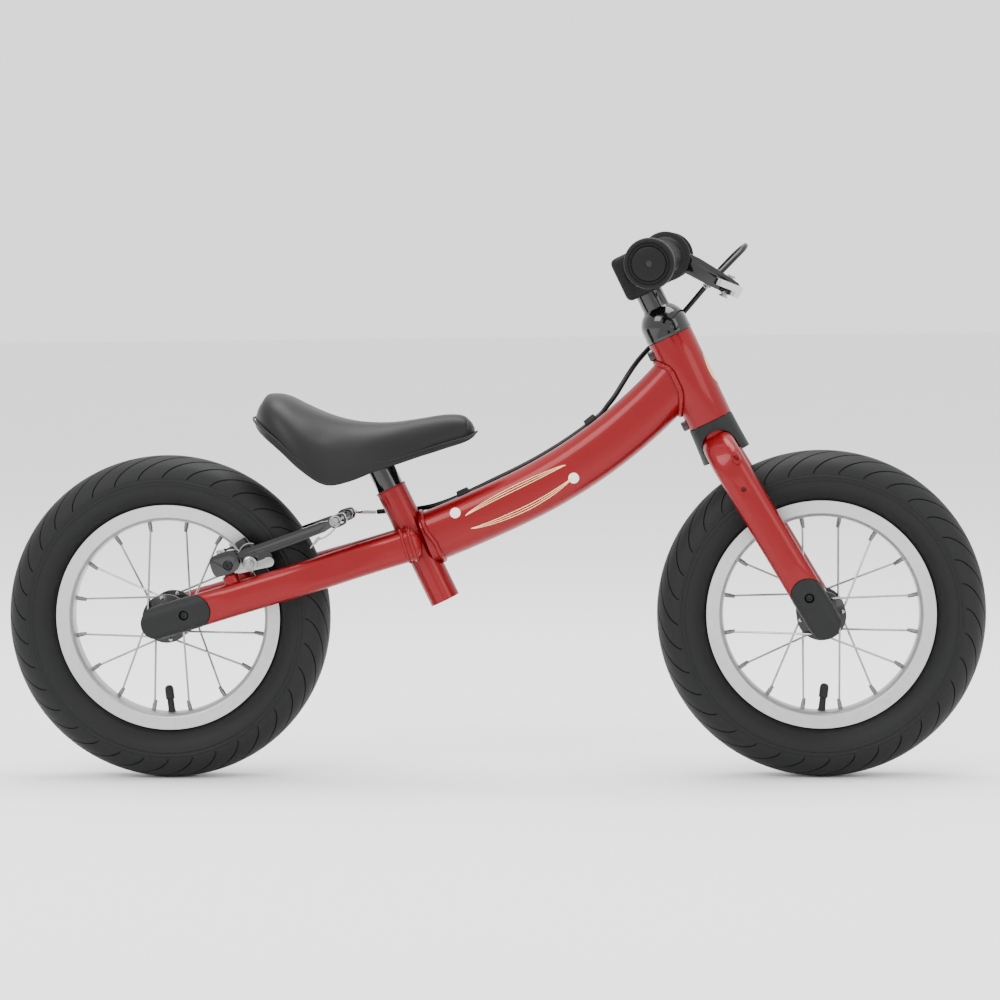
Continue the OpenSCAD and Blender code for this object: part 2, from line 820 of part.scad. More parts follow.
module spoke_set() {
    spin() for (k = [0:spokes - 1]) {
        turn = nipple_turn(k);
        hole = turn + lace(k) * 45;
        y = flange_side(k) * flange_y;
        out = flange_side(k) * lace(k) * 4.2;
        root = polar(hole_ring_r, hole, y + out);
        tip = polar(rim_r - 25, turn, y * 0.12);
        rod(spoke_r, root, tip, 8);
        rod(spoke_r, polar(hole_ring_r, hole, y + out * 1.2), polar(hole_ring_r, hole, y - out * 0.6), 8);
        rod(2, polar(hole_ring_r, hole, y - out * 0.45), polar(hole_ring_r, hole, y - out * 0.7), 8);
        rod(2, tip, polar(rim_r - 11.5, turn, 0), 8);
        rod(3.4, polar(rim_r - 13.2, turn, 0), polar(rim_r - 11.5, turn, 0), 8);
    }
}

module hub() {
    spin() difference() {
        union() {
            cylinder(r = hub_r, h = 50, center = true);
            for (s = [-1, 1]) {
                translate([0, 0, s * flange_y]) cylinder(r = hub_flange_r, h = 3, center = true);
                translate([0, 0, s * 24.5]) cylinder(r = 15.5, h = 8, center = true);
            }
        }
        cylinder(r = axle_r + 2, h = 80, center = true);
        for (s = [-1, 1]) translate([0, 0, s * 25]) cylinder(r = 13.02, h = 8, center = true);
        for (k = [0:spokes - 1])
            translate(polar(hole_ring_r, nipple_turn(k) + lace(k) * 45, flange_side(k) * flange_y))
                cylinder(r = spoke_r + 0.2, h = 5, center = true);
    }
}

module hub_bearings() {
    spin() for (s = [-1, 1]) translate([0, 0, s * 24.9]) difference() {
        cylinder(r = 13, h = 7.4, center = true);
        cylinder(r = axle_r + fit, h = 10, center = true);
    }
}

module rear_tyre() { color(soft_black) at_rear() tyre(); }

module rear_inner_tube() { color(soft_black) at_rear() inner_tube(); }

module rear_rim() { color(steel) at_rear() rim(); }

module rear_spokes() { color(steel) at_rear() spoke_set(); }

module rear_hub() { color(soft_black) at_rear() hub(); }

module rear_hub_bearings() { color(steel) at_rear() hub_bearings(); }

module front_tyre() { color(soft_black) at_front() tyre(); }

module front_inner_tube() { color(soft_black) at_front() inner_tube(); }

module front_rim() { color(steel) at_front() rim(); }

module front_spokes() { color(steel) at_front() spoke_set(); }

module front_hub() { color(soft_black) at_front() hub(); }

module front_hub_bearings() { color(steel) at_front() hub_bearings(); }

// ---- saddle ----

// Level plate on top of the sloping seatpost
module at_plate() {
    translate([0, 0, plate_s]) rotate([0, 90 - seat_angle, 0]) children();
}

module saddle_holes() {
    for (x = [-18, 18], y = [-12.5, 12.5]) translate([x, y, 0]) children();
}

module seatpost() {
    color(soft_black) at_seat() difference() {
        union() {
            translate([0, 0, 38]) cylinder(r = post_r, h = plate_s - 28);
            at_plate() translate([-22, -17, 0]) cube([44, 34, 3]);
        }
        translate([0, 0, 30]) cylinder(r = post_r - 2, h = plate_s - 38);
        at_plate() translate([-40, -40, 3]) cube([80, 80, 40]);
        at_plate() saddle_holes() translate([0, 0, -5]) cylinder(r = 2.6, h = 12);
    }
}

module saddle_bolts() {
    color(steel) at_seat() at_plate() saddle_holes() {
        translate([0, 0, -0.1]) cylinder(r = 2.5, h = 6.5);
        translate([0, 0, -3.6]) cylinder(r = 4, h = 3.5, $fn = 6);
    }
}

// Closed outline of one station: over the crown, then back under the hollow underside
function rib(s) = [
    for (k = [0:rib_sides - 1])
        let (t = 360 * k / rib_sides, c = cos(t), q = sin(t))
        [
            s[0], s[1] * sign(c) * pow(abs(c), 0.75),
            q >= 0 ? s[3] + (s[2] - s[3]) * pow(q, 0.85) : s[3] - 3 * (q > -0.6 ? 1 : 0)
                + (q > -0.6 ? 0 : s[4] - s[3])
        ]
];

module loft(ribs) {
    n = len(ribs);
    m = len(ribs[0]);
    polyhedron(
        [for (r = ribs) each r],
        concat(
            [[for (k = [0:m - 1]) k]],
            [for (i = [0:n - 2], k = [0:m - 1])
                let (a = i * m + k, b = i * m + (k + 1) % m) each [[b + m, b, a], [a + m, b + m, a]]],
            [[for (k = [0:m - 1]) n * m - 1 - k]]
        ), convexity = 6);
}

module saddle_cushion() {
    color(soft_black) loft([for (s = saddle_ribs) rib(s)]);
}

module saddle_base() {
    color(dark) at_seat() at_plate() difference() {
        translate([-30, -20, 3.1]) cube([58, 40, 4]);
        saddle_holes() cylinder(r = 2.55, h = 20);
    }
}

head_tube();
main_tube();
seat_tube();
chainstay_right();
chainstay_left();
brake_bosses();
cable_clips();
brake_cable_frame();
brake_cable_front();
brake_cable_rear();
headset_bearings();
seat_clamp_bolt();
rear_axle();
rear_axle_nuts();
rear_end_caps();
rear_cap_screws();
steerer_tube();
fork_crown();
fork_leg_right();
fork_leg_left();
crown_cover();
headset_dome();
headset_locknut();
front_axle();
front_axle_nuts();
front_end_caps();
front_cap_screws();
stem_tube();
handlebar();
handlebar_pad();
expander_wedge();
expander_bolt();
grip_right();
grip_left();
lever_bracket();
cable_adjuster();
lever_blade();
lever_pivot_pin();
brake_arm_right();
brake_arm_left();
brake_pads_right();
brake_pads_left();
brake_noodle();
brake_wire();
rear_tyre();
rear_inner_tube();
rear_rim();
rear_spokes();
rear_hub();
rear_hub_bearings();
front_tyre();
front_inner_tube();
front_rim();
front_spokes();
front_hub();
front_hub_bearings();
seatpost();
saddle_bolts();
saddle_base();
saddle_cushion();
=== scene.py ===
import json
import math

import bpy
from mathutils import Matrix, Vector


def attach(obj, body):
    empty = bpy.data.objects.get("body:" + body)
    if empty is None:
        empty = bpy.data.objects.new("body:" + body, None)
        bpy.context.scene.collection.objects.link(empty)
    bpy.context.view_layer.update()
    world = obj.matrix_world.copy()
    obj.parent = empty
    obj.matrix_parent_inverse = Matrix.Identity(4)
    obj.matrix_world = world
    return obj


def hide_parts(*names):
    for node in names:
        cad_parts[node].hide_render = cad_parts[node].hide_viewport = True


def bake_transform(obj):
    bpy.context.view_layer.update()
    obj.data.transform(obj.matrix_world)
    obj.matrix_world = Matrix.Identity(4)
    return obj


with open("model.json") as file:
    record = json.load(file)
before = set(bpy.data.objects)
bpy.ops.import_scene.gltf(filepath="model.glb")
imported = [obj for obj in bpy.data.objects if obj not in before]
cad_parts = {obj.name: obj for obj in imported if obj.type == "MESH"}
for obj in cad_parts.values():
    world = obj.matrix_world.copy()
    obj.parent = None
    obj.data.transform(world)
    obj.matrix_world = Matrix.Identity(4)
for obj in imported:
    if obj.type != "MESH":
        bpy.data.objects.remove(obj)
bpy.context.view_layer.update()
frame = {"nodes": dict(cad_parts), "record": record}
print("frame loaded:", len(frame["nodes"]), "nodes")

# camera: level with the wheels, a little to the right and above
camera = {"place": (0.231, -2.982, 0.4955), "target": (0.0079, 0.0, 0.2612), "lens": 115.1, "roll": -0.74}
bpy.ops.object.select_all(action="DESELECT")
bpy.ops.object.camera_add(location=camera["place"])
view = bpy.context.object
aim = (Vector(camera["target"]) - view.location).to_track_quat("-Z", "Y").to_matrix()
view.rotation_euler = (aim @ Matrix.Rotation(math.radians(camera["roll"]), 3, "Z")).to_euler()
view.data.lens = camera["lens"]
bpy.context.scene.camera = view

# brake cable routes, held by the bike all the way, in metres
cable = {
    "radius": 0.0025,
    "front": [(.210, -.066, .467), (.218, -.058, .474), (.228, -.048, .484), (.236, -.036, .492),
    (.239, -.024, .496),
              (.237, -.012, .495), (.230, 0, .489), (.220, .011, .479), (.209, .020, .467),
              (.197, .027, .453),
              (.184, .031, .438), (.171, .032, .424), (.159, .031, .412), (.148, .028, .401),
              (.138, .023, .390),
              (.130, .018, .379), (.123, .015, .368), (.116, .013, .357), (.109, .013, .348)],
    "frame": [(.109, .013, .348), (.102, .013, .3395), (.086, .013, .327), (.070, .013, .316),
    (.053, .013, .3055),
              (.036, .013, .296), (.018, .013, .287), (0, .013, .2785), (-.018, .013, .270),
              (-.036, .013, .262),
              (-.048, .014, .2575)],
    "rear": [(-.048, .014, .2575), (-.058, .016, .2545), (-.068, .019, .2525), (-.078, .022, .251),
    (-.088, .029, .250),
             (-.096, .037, .249), (-.104, .044, .248), (-.113, .048, .247)],
    "wire": [(-.139, .022, .247), (-.139, 0, .247), (-.139, -.034, .247)],
    "tail": [(-.139, -.044, .244), (-.144, -.046, .238), (-.151, -.046, .232), (-.160, -.045, .228),
    (-.166, -.044, .221)],
}


# materials
class Signal:
    def __init__(self, maker, socket):
        self.maker, self.socket = maker, socket

    def math(self, operation, *values):
        return self.maker.add("ShaderNodeMath", {"operation": operation}, *values)

    def __add__(self, other): return self.math("ADD", self, other)
    def __radd__(self, other): return self.math("ADD", other, self)
    def __sub__(self, other): return self.math("SUBTRACT", self, other)
    def __rsub__(self, other): return self.math("SUBTRACT", other, self)
    def __mul__(self, other): return self.math("MULTIPLY", self, other)
    def __rmul__(self, other): return self.math("MULTIPLY", other, self)
    def __truediv__(self, other): return self.math("DIVIDE", self, other)
    def __rtruediv__(self, other): return self.math("DIVIDE", other, self)
    def __pow__(self, other): return self.math("POWER", self, other)
    def __gt__(self, other): return self.math("GREATER_THAN", self, other)
    def __lt__(self, other): return self.math("LESS_THAN", self, other)


class Finish:
    def __init__(self, name, **constants):
        self.material = bpy.data.materials.new(name)
        self.material.use_nodes = True
        self.tree = self.material.node_tree
        self.shader = self.tree.nodes["Principled BSDF"]
        for key, value in constants.items():
            self.put(key, value)

    def add(self, kind, settings=None, *values, out=0, **named):
        node = self.tree.nodes.new(kind)
        for key, value in (settings or {}).items():
            if key == "stops":
                while len(node.color_ramp.elements) < len(value):
                    node.color_ramp.elements.new(0.5)
                for element, (position, colour) in zip(node.color_ramp.elements, value):
                    element.position = position
                    element.color = colour if len(colour) == 4 else (*colour, 1)
            else:
                setattr(node, key, value)
        for index, value in enumerate(values):
            self.feed(node.inputs[index], value)
        for key, value in named.items():
            self.feed(node.inputs[key.replace("_", " ")], value)
        return Signal(self, node.outputs[out])

    def feed(self, socket, value):
        if isinstance(value, Signal):
            self.tree.links.new(value.socket, socket)
        elif isinstance(value, tuple) and len(value) == 3 and socket.type == "RGBA":
            socket.default_value = (*value, 1)
        else:
            socket.default_value = value

    def put(self, name, value):
        self.feed(self.shader.inputs[name.replace("_", " ")], value)
        return self

    def place(self):
        return self.add("ShaderNodeTexCoord", out=3)

    def axis(self, index):
        return self.add("ShaderNodeSeparateXYZ", None, self.place(), out=index)

    def noise(self, scale, detail=3.0, roughness=0.55):
        return self.add("ShaderNodeTexNoise", None, Vector=self.place(), Scale=scale, Detail=detail,
                Roughness=roughness)

    def cells(self, scale):
        return self.add("ShaderNodeTexVoronoi", None, Vector=self.place(), Scale=scale)

    def blendColour(self, factor, first, second):
        node = self.tree.nodes.new("ShaderNodeMix")
        node.data_type = "RGBA"
        for index, value in ((0, factor), (6, first), (7, second)):
            self.feed(node.inputs[index], value)
        return Signal(self, node.outputs[2])

    def relief(self, height, strength=0.3, distance=0.0005):
        return self.put("Normal", self.add("ShaderNodeBump", None, Strength=strength, Distance=distance,
                Height=height))


def redPaint():
    f = Finish("candyRed", Metallic=0.35, Coat_Weight=0.3, Coat_Roughness=0.08, Specular_IOR_Level=0.2)
    cloud = f.noise(9.0, 2.0)
    flake = f.noise(2600.0, 1.0)
    f.put("Base Color", f.blendColour(cloud * 0.6 + flake * 0.4, (0.15, 0.0002, 0.0022),
            (0.21, 0.0004, 0.0032)))
    f.put("Roughness", 0.36 + f.noise(60.0) * 0.06)
    return f.relief(flake, 0.06, 0.0001).material


def blackFinish(name, shade, roughness, grain, depth, coat=0.0, spread=0.08, metallic=0.0, specular=0.26):
    f = Finish(name, Coat_Weight=coat, Metallic=metallic, Specular_IOR_Level=specular)
    speck = f.noise(grain, 4.0, 0.6)
    cloud = f.noise(22.0, 3.0)
    f.put("Base Color", f.blendColour(cloud, tuple(c * 0.35 for c in shade), tuple(c * 0.55 for c in shade)))
    f.put("Roughness", roughness - spread / 2 + cloud * spread)
    return f.relief(speck, 0.5, depth).material


def tyreRubber():
    f = Finish("tyreRubber", Specular_IOR_Level=0.22)
    grain = f.noise(900.0, 4.0, 0.65)
    dust = f.noise(14.0, 4.0, 0.6)
    f.put("Base Color", f.blendColour(dust, (0.0042, 0.0044, 0.0046), (0.0085, 0.0088, 0.0090)))
    f.put("Roughness", 0.5 + dust * 0.16)
    return f.relief(grain, 0.35, 0.0002).material


def rimAlloy():
    f = Finish("rimAlloy", Metallic=1.0)
    brushed = f.add("ShaderNodeTexNoise", None, Vector=f.add("ShaderNodeMapping", None, Vector=f.place(),
            Scale=(1, 30, 1)),
                    Scale=180.0, Detail=3.0)
    f.put("Base Color", f.blendColour(brushed, (0.42, 0.42, 0.418), (0.54, 0.54, 0.537)))
    f.put("Roughness", 0.38 + brushed * 0.12)
    return f.relief(brushed, 0.12, 0.0001).material


def metal(name, dark, light, roughness, grain=240.0):
    f = Finish(name, Metallic=1.0)
    wear = f.noise(grain, 3.0)
    f.put("Base Color", f.blendColour(wear, dark, light))
    f.put("Roughness", roughness + f.noise(70.0) * 0.1)
    return f.relief(wear, 0.08, 0.0001).material


def saddleCover():
    f = Finish("leatherette", Specular_IOR_Level=0.24)
    pebble = f.cells(1500.0)
    crease = f.noise(420.0, 4.0, 0.6)
    cloud = f.noise(16.0, 3.0)
    f.put("Base Color", f.blendColour(cloud, (0.0035, 0.0035, 0.0034), (0.0065, 0.0065, 0.0063)))
    f.put("Roughness", 0.40 + cloud * 0.1)
    return f.relief(pebble * 0.6 + crease * 0.4, 0.35, 0.00025).material


def goldPrint():
    f = Finish("goldPrint", Metallic=0.8)
    f.put("Base Color", f.blendColour(f.noise(500.0), (0.72, 0.45, 0.20), (0.86, 0.60, 0.32)))
    f.put("Roughness", 0.32 + f.noise(90.0) * 0.1)
    return f.material


def pearlPrint():
    f = Finish("pearlPrint", Coat_Weight=0.5)
    f.put("Base Color", f.blendColour(f.noise(400.0), (0.78, 0.70, 0.60), (0.90, 0.84, 0.76)))
    f.put("Roughness", 0.35 + f.noise(90.0) * 0.1)
    return f.material


finishes = {
    "red_paint": redPaint(),
    "gloss_black": blackFinish("glossBlack", (0.006, 0.006, 0.007), 0.12, 300.0, 0.00003, coat=0.6,
    spread=0.04),
    "satin_black_metal": blackFinish("satinBlack", (0.010, 0.010, 0.0105), 0.34, 700.0, 0.0001, spread=0.08),
    "matte_plastic": blackFinish("mattePlastic", (0.024, 0.026, 0.025), 0.52, 1400.0, 0.0003, specular=0.18),
    "grip_rubber": blackFinish("gripRubber", (0.014, 0.014, 0.015), 0.5, 1200.0, 0.0003, specular=0.16),
    "pad_foam": blackFinish("padFoam", (0.014, 0.0142, 0.0145), 0.55, 1000.0, 0.0004, specular=0.14),
    "tyre_rubber": tyreRubber(),
    "tube_rubber": blackFinish("tubeRubber", (0.012, 0.012, 0.012), 0.5, 900.0, 0.0002),
    "rim_alloy": rimAlloy(),
    "bright_steel": metal("brightSteel", (0.22, 0.22, 0.22), (0.34, 0.34, 0.335), 0.24),
    "chrome": metal("chrome", (0.42, 0.42, 0.42), (0.52, 0.52, 0.52), 0.12),
    "hub_alloy": blackFinish("hubBlack", (0.008, 0.008, 0.0085), 0.22, 500.0, 0.00005, coat=0.3),
    "brake_pad_rubber": blackFinish("brakePad", (0.055, 0.055, 0.053), 0.62, 1100.0, 0.0003),
    "saddle_cover": saddleCover(),
    "cable_sheath": blackFinish("cableSheath", (0.008, 0.008, 0.008), 0.24, 600.0, 0.00006),
}
gold, pearl = goldPrint(), pearlPrint()
nippleDark = metal("nippleDark", (0.10, 0.10, 0.10), (0.20, 0.20, 0.20), 0.34)

for node in frame["nodes"].values():  # every CAD node gets its slot's finish
    node.data.materials.clear()
    node.data.materials.append(finishes[next(p["material_slot"] for p in frame["record"]["subparts"]
            if p["node"] == node.name)])
print("finishes made:", len(finishes))


# places
def at(x, y, z):
    return Matrix.Translation((x / 1000, y / 1000, z / 1000))


def turn(degrees, axis):
    return Matrix.Rotation(math.radians(degrees), 4, axis)


headPlace = at(205.2, 0, 334) @ turn(-25, "Y")
seatPlace = at(-45, 0, 167.5) @ turn(-25.3, "Y")
mainPlace = at(-61.5, 0, 225.7) @ turn(-21, "Y") @ turn(90, "X")
stayPlace = at(-307, 0, 153) @ turn(-16.5, "Y")
legPlace = at(307, 0, 153) @ turn(-120.5, "Y")
armPlace = at(-247, 0, 207) @ turn(-18.9, "Y")
leverPlace = headPlace @ at(32.896, -83, 155) @ turn(49, "Y")
wheelPlace = {"rear": at(-307, 0, 153) @ turn(90, "X"), "front": at(307, 0, 153) @ turn(90, "X")}
plateZ = 167.5 + 147 * math.sin(math.radians(64.7))
plateX = -45 - 147 * math.cos(math.radians(64.7))


# modelling helpers, in millimetres until the piece is placed
def clearSelection():
    if bpy.context.object and bpy.context.object.mode != "OBJECT":
        bpy.ops.object.mode_set(mode="OBJECT")
    bpy.ops.object.select_all(action="DESELECT")


def pick(obj):
    clearSelection()
    obj.select_set(True)
    bpy.context.view_layer.objects.active = obj


def addModifier(obj, kind, **settings):
    pick(obj)
    modifier = obj.modifiers.new(kind.lower(), kind)
    for key, value in settings.items():
        setattr(modifier, key, value)
    bpy.ops.object.modifier_apply(modifier=modifier.name)
    return obj


def closeUp(obj, tiny=0.002):
    pick(obj)
    bpy.ops.object.mode_set(mode="EDIT")
    bpy.ops.mesh.select_all(action="SELECT")
    bpy.ops.mesh.remove_doubles(threshold=tiny)
    bpy.ops.mesh.fill_holes(sides=0)
    bpy.ops.mesh.normals_make_consistent(inside=False)
    bpy.ops.object.mode_set(mode="OBJECT")
    return obj


def outlineRing(points, depth=0.0, fill="NOTHING"):
    clearSelection()
    bpy.ops.mesh.primitive_circle_add(vertices=len(points), radius=10, fill_type=fill)
    obj = bpy.context.object
    for v, p in zip(obj.data.vertices, points):
        v.co = (p[0], p[1], p[2] if len(p) > 2 else depth)
    return obj


def spun(profile, sides=64, sweep=360.0):  # closed outline of (radius, height), turned about Z
    obj = outlineRing([(r, 0, z) for r, z in profile])
    pick(obj)
    bpy.ops.object.mode_set(mode="EDIT")
    bpy.ops.mesh.select_all(action="SELECT")
    bpy.ops.mesh.spin(steps=sides, angle=math.radians(sweep), center=(0, 0, 0), axis=(0, 0, 1))
    bpy.ops.object.mode_set(mode="OBJECT")
    return closeUp(obj)


def rod(radius, low, high, sides):
    return spun([(0, low), (radius, low), (radius, high), (0, high)], sides)


def plate(outline, low, high):  # outline in XY, thick along Z
    obj = outlineRing([(x, y, low) for x, y in outline], fill="NGON")
    pick(obj)
    bpy.ops.object.mode_set(mode="EDIT")
    bpy.ops.mesh.select_all(action="SELECT")
    bpy.ops.mesh.extrude_region_move(TRANSFORM_OT_translate={"value": (0, 0, high - low)})
    bpy.ops.object.mode_set(mode="OBJECT")
    return closeUp(obj)


def bevelled(obj, width, steps=2, angle=35):
    return addModifier(obj, "BEVEL", width=width, segments=steps, limit_method="ANGLE",
            angle_limit=math.radians(angle),
                       miter_outer="MITER_ARC", use_clamp_overlap=True)


def carved(obj, cutter, operation="DIFFERENCE"):
    addModifier(obj, "BOOLEAN", object=cutter, operation=operation, solver="EXACT")
    bpy.data.objects.remove(cutter)
    return obj


def moved(obj, matrix):  # millimetre move on the mesh
    scaled = matrix.copy()
    scaled.translation = scaled.translation * 1000
    obj.data.transform(scaled)
    return obj


def copyOf(obj):
    twin = obj.copy()
    twin.data = obj.data.copy()
    bpy.context.scene.collection.objects.link(twin)
    return twin


def joined(first, *others):
    pick(first)
    for other in others:
        other.select_set(True)
    bpy.ops.object.join()
    return first


def finished(obj, name, body, slot, place=Matrix(), material=None, angle=38, replaces=()):
    pick(obj)
    obj.name = obj.data.name = name
    obj.data.transform(place @ Matrix.Scale(0.001, 4))
    bpy.ops.object.shade_smooth_by_angle(angle=math.radians(angle))
    obj.data.materials.clear()
    obj.data.materials.append(material or finishes[slot])
    if body:
        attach(obj, body)
    if replaces:
        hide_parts(*replaces)
    return obj


def mirroredTwin(obj, name, body, slot, **more):  # the same piece on the other side of the middle plane
    twin = copyOf(obj)
    twin.parent = None
    for key in list(twin.keys()):
        del twin[key]
    twin.data.transform(Matrix.Diagonal((1000, -1000, 1000, 1)))
    closeUp(twin)
    return finished(twin, name, body, slot, **more)


def roundedBox(width, depth, height, radius=1.0, steps=3):
    clearSelection()
    bpy.ops.mesh.primitive_cube_add(size=1)
    obj = bpy.context.object
    for v in obj.data.vertices:
        v.co = (v.co.x * width, v.co.y * depth, v.co.z * height)
    return bevelled(obj, radius, steps)


def stadium(x0, x1, r, count=20):
    right = [(x1 + r * math.cos(a), r * math.sin(a)) for a in (math.pi * (i / count - 0.5)
            for i in range(count + 1))]
    left = [(x0 + r * math.cos(a), r * math.sin(a)) for a in (math.pi * (i / count + 0.5)
            for i in range(count + 1))]
    return right + left


def softened(outline, rounds=2):  # corner cutting, which rounds an outline off
    for _ in range(rounds):
        cut = []
        for a, b in zip(outline, outline[1:] + outline[:1]):
            cut.append((a[0] * 0.75 + b[0] * 0.25, a[1] * 0.75 + b[1] * 0.25))
            cut.append((a[0] * 0.25 + b[0] * 0.75, a[1] * 0.25 + b[1] * 0.75))
        outline = cut
    return outline


def ovalPoint(angle, across, tall):  # flat-sided oval, across the narrow way and tall the other
    lift = math.copysign((tall - across) / 2, math.sin(angle))
    return across / 2 * math.cos(angle), across / 2 * math.sin(angle) + lift


def ovalRing(across, tall, sides=56):
    return [ovalPoint((k + 0.5) * 2 * math.pi / sides, across, tall) for k in range(sides)]


def bentTube(across, tall, steps, startX=0.0, upright="Z", tip=0):
    # a ring square to +X is drawn along straights (length,) and bends (radius, degrees) in the XY plane
    ring = ovalRing(across, tall)
    points = [(startX, u, v) if upright == "Z" else (startX, v, u) for u, v in ring]
    obj = outlineRing(points)
    pick(obj)
    bpy.ops.object.mode_set(mode="EDIT")
    bpy.ops.mesh.select_all(action="SELECT")
    x, y, heading = startX, 0.0, 0.0
    for step in steps:
        if len(step) == 1:
            dx, dy = step[0] * math.cos(heading), step[0] * math.sin(heading)
            pieces = max(1, round(step[0] / 25))
            for part in range(pieces):
                bpy.ops.mesh.extrude_region_move(TRANSFORM_OT_translate={"value": (dx / pieces, dy / pieces,
                        0)})
            x, y = x + dx, y + dy
        else:
            radius, bend = step[0], math.radians(step[1])
            side = math.copysign(1, bend)
            cx, cy = x - side * radius * math.sin(heading), y + side * radius * math.cos(heading)
            bpy.ops.mesh.spin(steps=max(6, round(abs(step[1]) / 1.5)), angle=-bend, center=(cx, cy, 0),
                    axis=(0, 0, 1))
            heading += bend
            x, y = cx + side * radius * math.sin(heading), cy - side * radius * math.cos(heading)
    for k in range(1, tip + 1):  # rounded end
        before, now = math.radians(90 * (k - 1) / (tip + 0.3)), math.radians(90 * k / (tip + 0.3))
        move = across / 2 * (math.sin(now) - math.sin(before))
        bpy.ops.mesh.extrude_region_move(TRANSFORM_OT_translate={"value": (move * math.cos(heading),
                move * math.sin(heading), 0)})
        x, y = x + move * math.cos(heading), y + move * math.sin(heading)
        size = math.cos(now) / math.cos(before)
        bpy.ops.transform.resize(value=(size, size, size), center_override=(x, y, 0))
    bpy.ops.object.mode_set(mode="OBJECT")
    return closeUp(obj)


def gridSkin(columns, rows, where, closedColumns=False, closedRows=False):
    clearSelection()
    bpy.ops.mesh.primitive_grid_add(x_subdivisions=columns, y_subdivisions=rows, size=1)
    obj = bpy.context.object
    for v in obj.data.vertices:
        i, j = round((v.co.x + 0.5) * columns), round((v.co.y + 0.5) * rows)
        v.co = where(i % columns if closedColumns else i, j % rows if closedRows else j)
    return closeUp(obj)


def smoothPath(points, samples=6):  # passes through every point
    out = []
    for i in range(len(points) - 1):
        p0, p1, p2, p3 = (Vector(points[max(0, min(len(points) - 1, i + k))]) for k in (-1, 0, 1, 2))
        for s in range(samples):
            t = s / samples
            out.append(0.5 * (2 * p1 + (p2 - p0) * t + (2 * p0 - 5 * p1 + 4 * p2 - p3) * t * t
                              + (3 * p1 - p0 - 3 * p2 + p3) * t ** 3))
    return out + [Vector(points[-1])]


def cordPiece(points, radius, sides=4, cyclic=False, radii=None, samples=6):
    clearSelection()
    line = smoothPath(points, samples) if samples > 1 else [Vector(p) for p in points]
    data = bpy.data.curves.new("cord", "CURVE")
    data.dimensions = "3D"
    data.bevel_depth = radius
    data.bevel_resolution = sides
    data.use_fill_caps = not cyclic
    spline = data.splines.new("POLY")
    spline.points.add(len(line) - 1)
    for i, p in enumerate(line):
        spline.points[i].co = (*p, 1)
        spline.points[i].radius = radii(i) if radii else 1.0
    spline.use_cyclic_u = cyclic
    obj = bpy.data.objects.new("cord", data)
    bpy.context.scene.collection.objects.link(obj)
    pick(obj)
    bpy.ops.object.convert(target="MESH")
    return closeUp(bpy.context.object, 0.0001)


def weldBead(points, radius=2.0, ripple=0.07):  # a run of overlapping drops of weld under the paint
    return cordPiece(points, radius, cyclic=True, samples=1, radii=lambda i: 1 + ripple * math.sin(i * 1.4))


print("helpers ready")

# frame
frameSizes = {"headRadius": 21.5, "headLength": 87, "seatRadius": 14.3, "seatLength": 117.5,
              "mainAcross": 36, "mainTall": 49, "stayAcross": 20, "stayTall": 31}
mainSteps = [(1300, 4.2), (472, 28)]
staySteps = [(136,), (130, 22.6), (130, -22.6), (23,)]


def ringTube(radius, bore, low, high):
    return spun([(bore, low), (radius, low), (radius, high), (bore, high)], 96)


headTube = bevelled(ringTube(frameSizes["headRadius"], 19.5, 0, frameSizes["headLength"]), 0.5, 2)
finished(headTube, "headTube", "frame", "red_paint", headPlace, replaces=["head_tube"])

seatTube = ringTube(frameSizes["seatRadius"], 12.75, 0, frameSizes["seatLength"])
seatLug = moved(spun([(0, -3), (7.6, -3), (8, 0), (8, 19.5), (7.2, 20.5), (0, 20.5)], 40), at(0, 0, 101.5)
        @ turn(-90, "X"))
seatBore = rod(12.75, -5, 130, 64)
seatTube = carved(carved(seatTube, seatLug, "UNION"), seatBore)
finished(bevelled(seatTube, 0.45, 2, 40), "seatTube", "frame", "red_paint", seatPlace, replaces=["seat_tube"])
lip = weldBead([(14.5 * math.cos(a), 14.5 * math.sin(a), 116.2)
        for a in (i * math.pi / 60 for i in range(120))], 0.7, 0)
finished(lip, "seatTubeLip", "frame", "red_paint", seatPlace)

mainTube = bentTube(frameSizes["mainAcross"], frameSizes["mainTall"], mainSteps, upright="Y")
moved(mainTube, mainPlace)
headCutter = moved(rod(20.8, -40, 140, 64), headPlace)
seatCutter = moved(rod(13.7, -60, 160, 48), seatPlace)
frontCutter = moved(roundedBox(200, 200, 300, 0.1, 1), headPlace @ at(100, 0, 50))
mainTube = carved(carved(carved(mainTube, headCutter), frontCutter), seatCutter)
finished(mainTube, "mainTube", "frame", "red_paint", replaces=["main_tube"])


def mainPoint(s, angle, grow=0.0):  # a point on the main tube's skin, s along it
    x, y, heading = 0.0, 0.0, 0.0
    for radius, degrees in mainSteps:
        part = min(s, radius * math.radians(degrees)) / radius
        x += radius * (math.sin(heading + part) - math.sin(heading))
        y += radius * (math.cos(heading) - math.cos(heading + part))
        heading += part
        s -= part * radius
        if s <= 1e-9:
            break
    u, v = ovalPoint(angle, frameSizes["mainAcross"] + 2 * grow, frameSizes["mainTall"] + 2 * grow)
    m = mainPlace.copy()
    m.translation = m.translation * 1000
    return m @ Vector((x - v * math.sin(heading), y + v * math.cos(heading), u))


def axisDistance(point, place):
    local = place.copy()
    local.translation = local.translation * 1000
    local = local.inverted() @ point
    return math.hypot(local.x, local.y)


def meeting(angle, place, radius, inside, outside, skin):  # where a skin line runs into a round tube
    for step in range(26):
        middle = (inside + outside) / 2
        if axisDistance(skin(middle, angle), place) < radius:
            inside = middle
        else:
            outside = middle
    return skin(middle, angle)


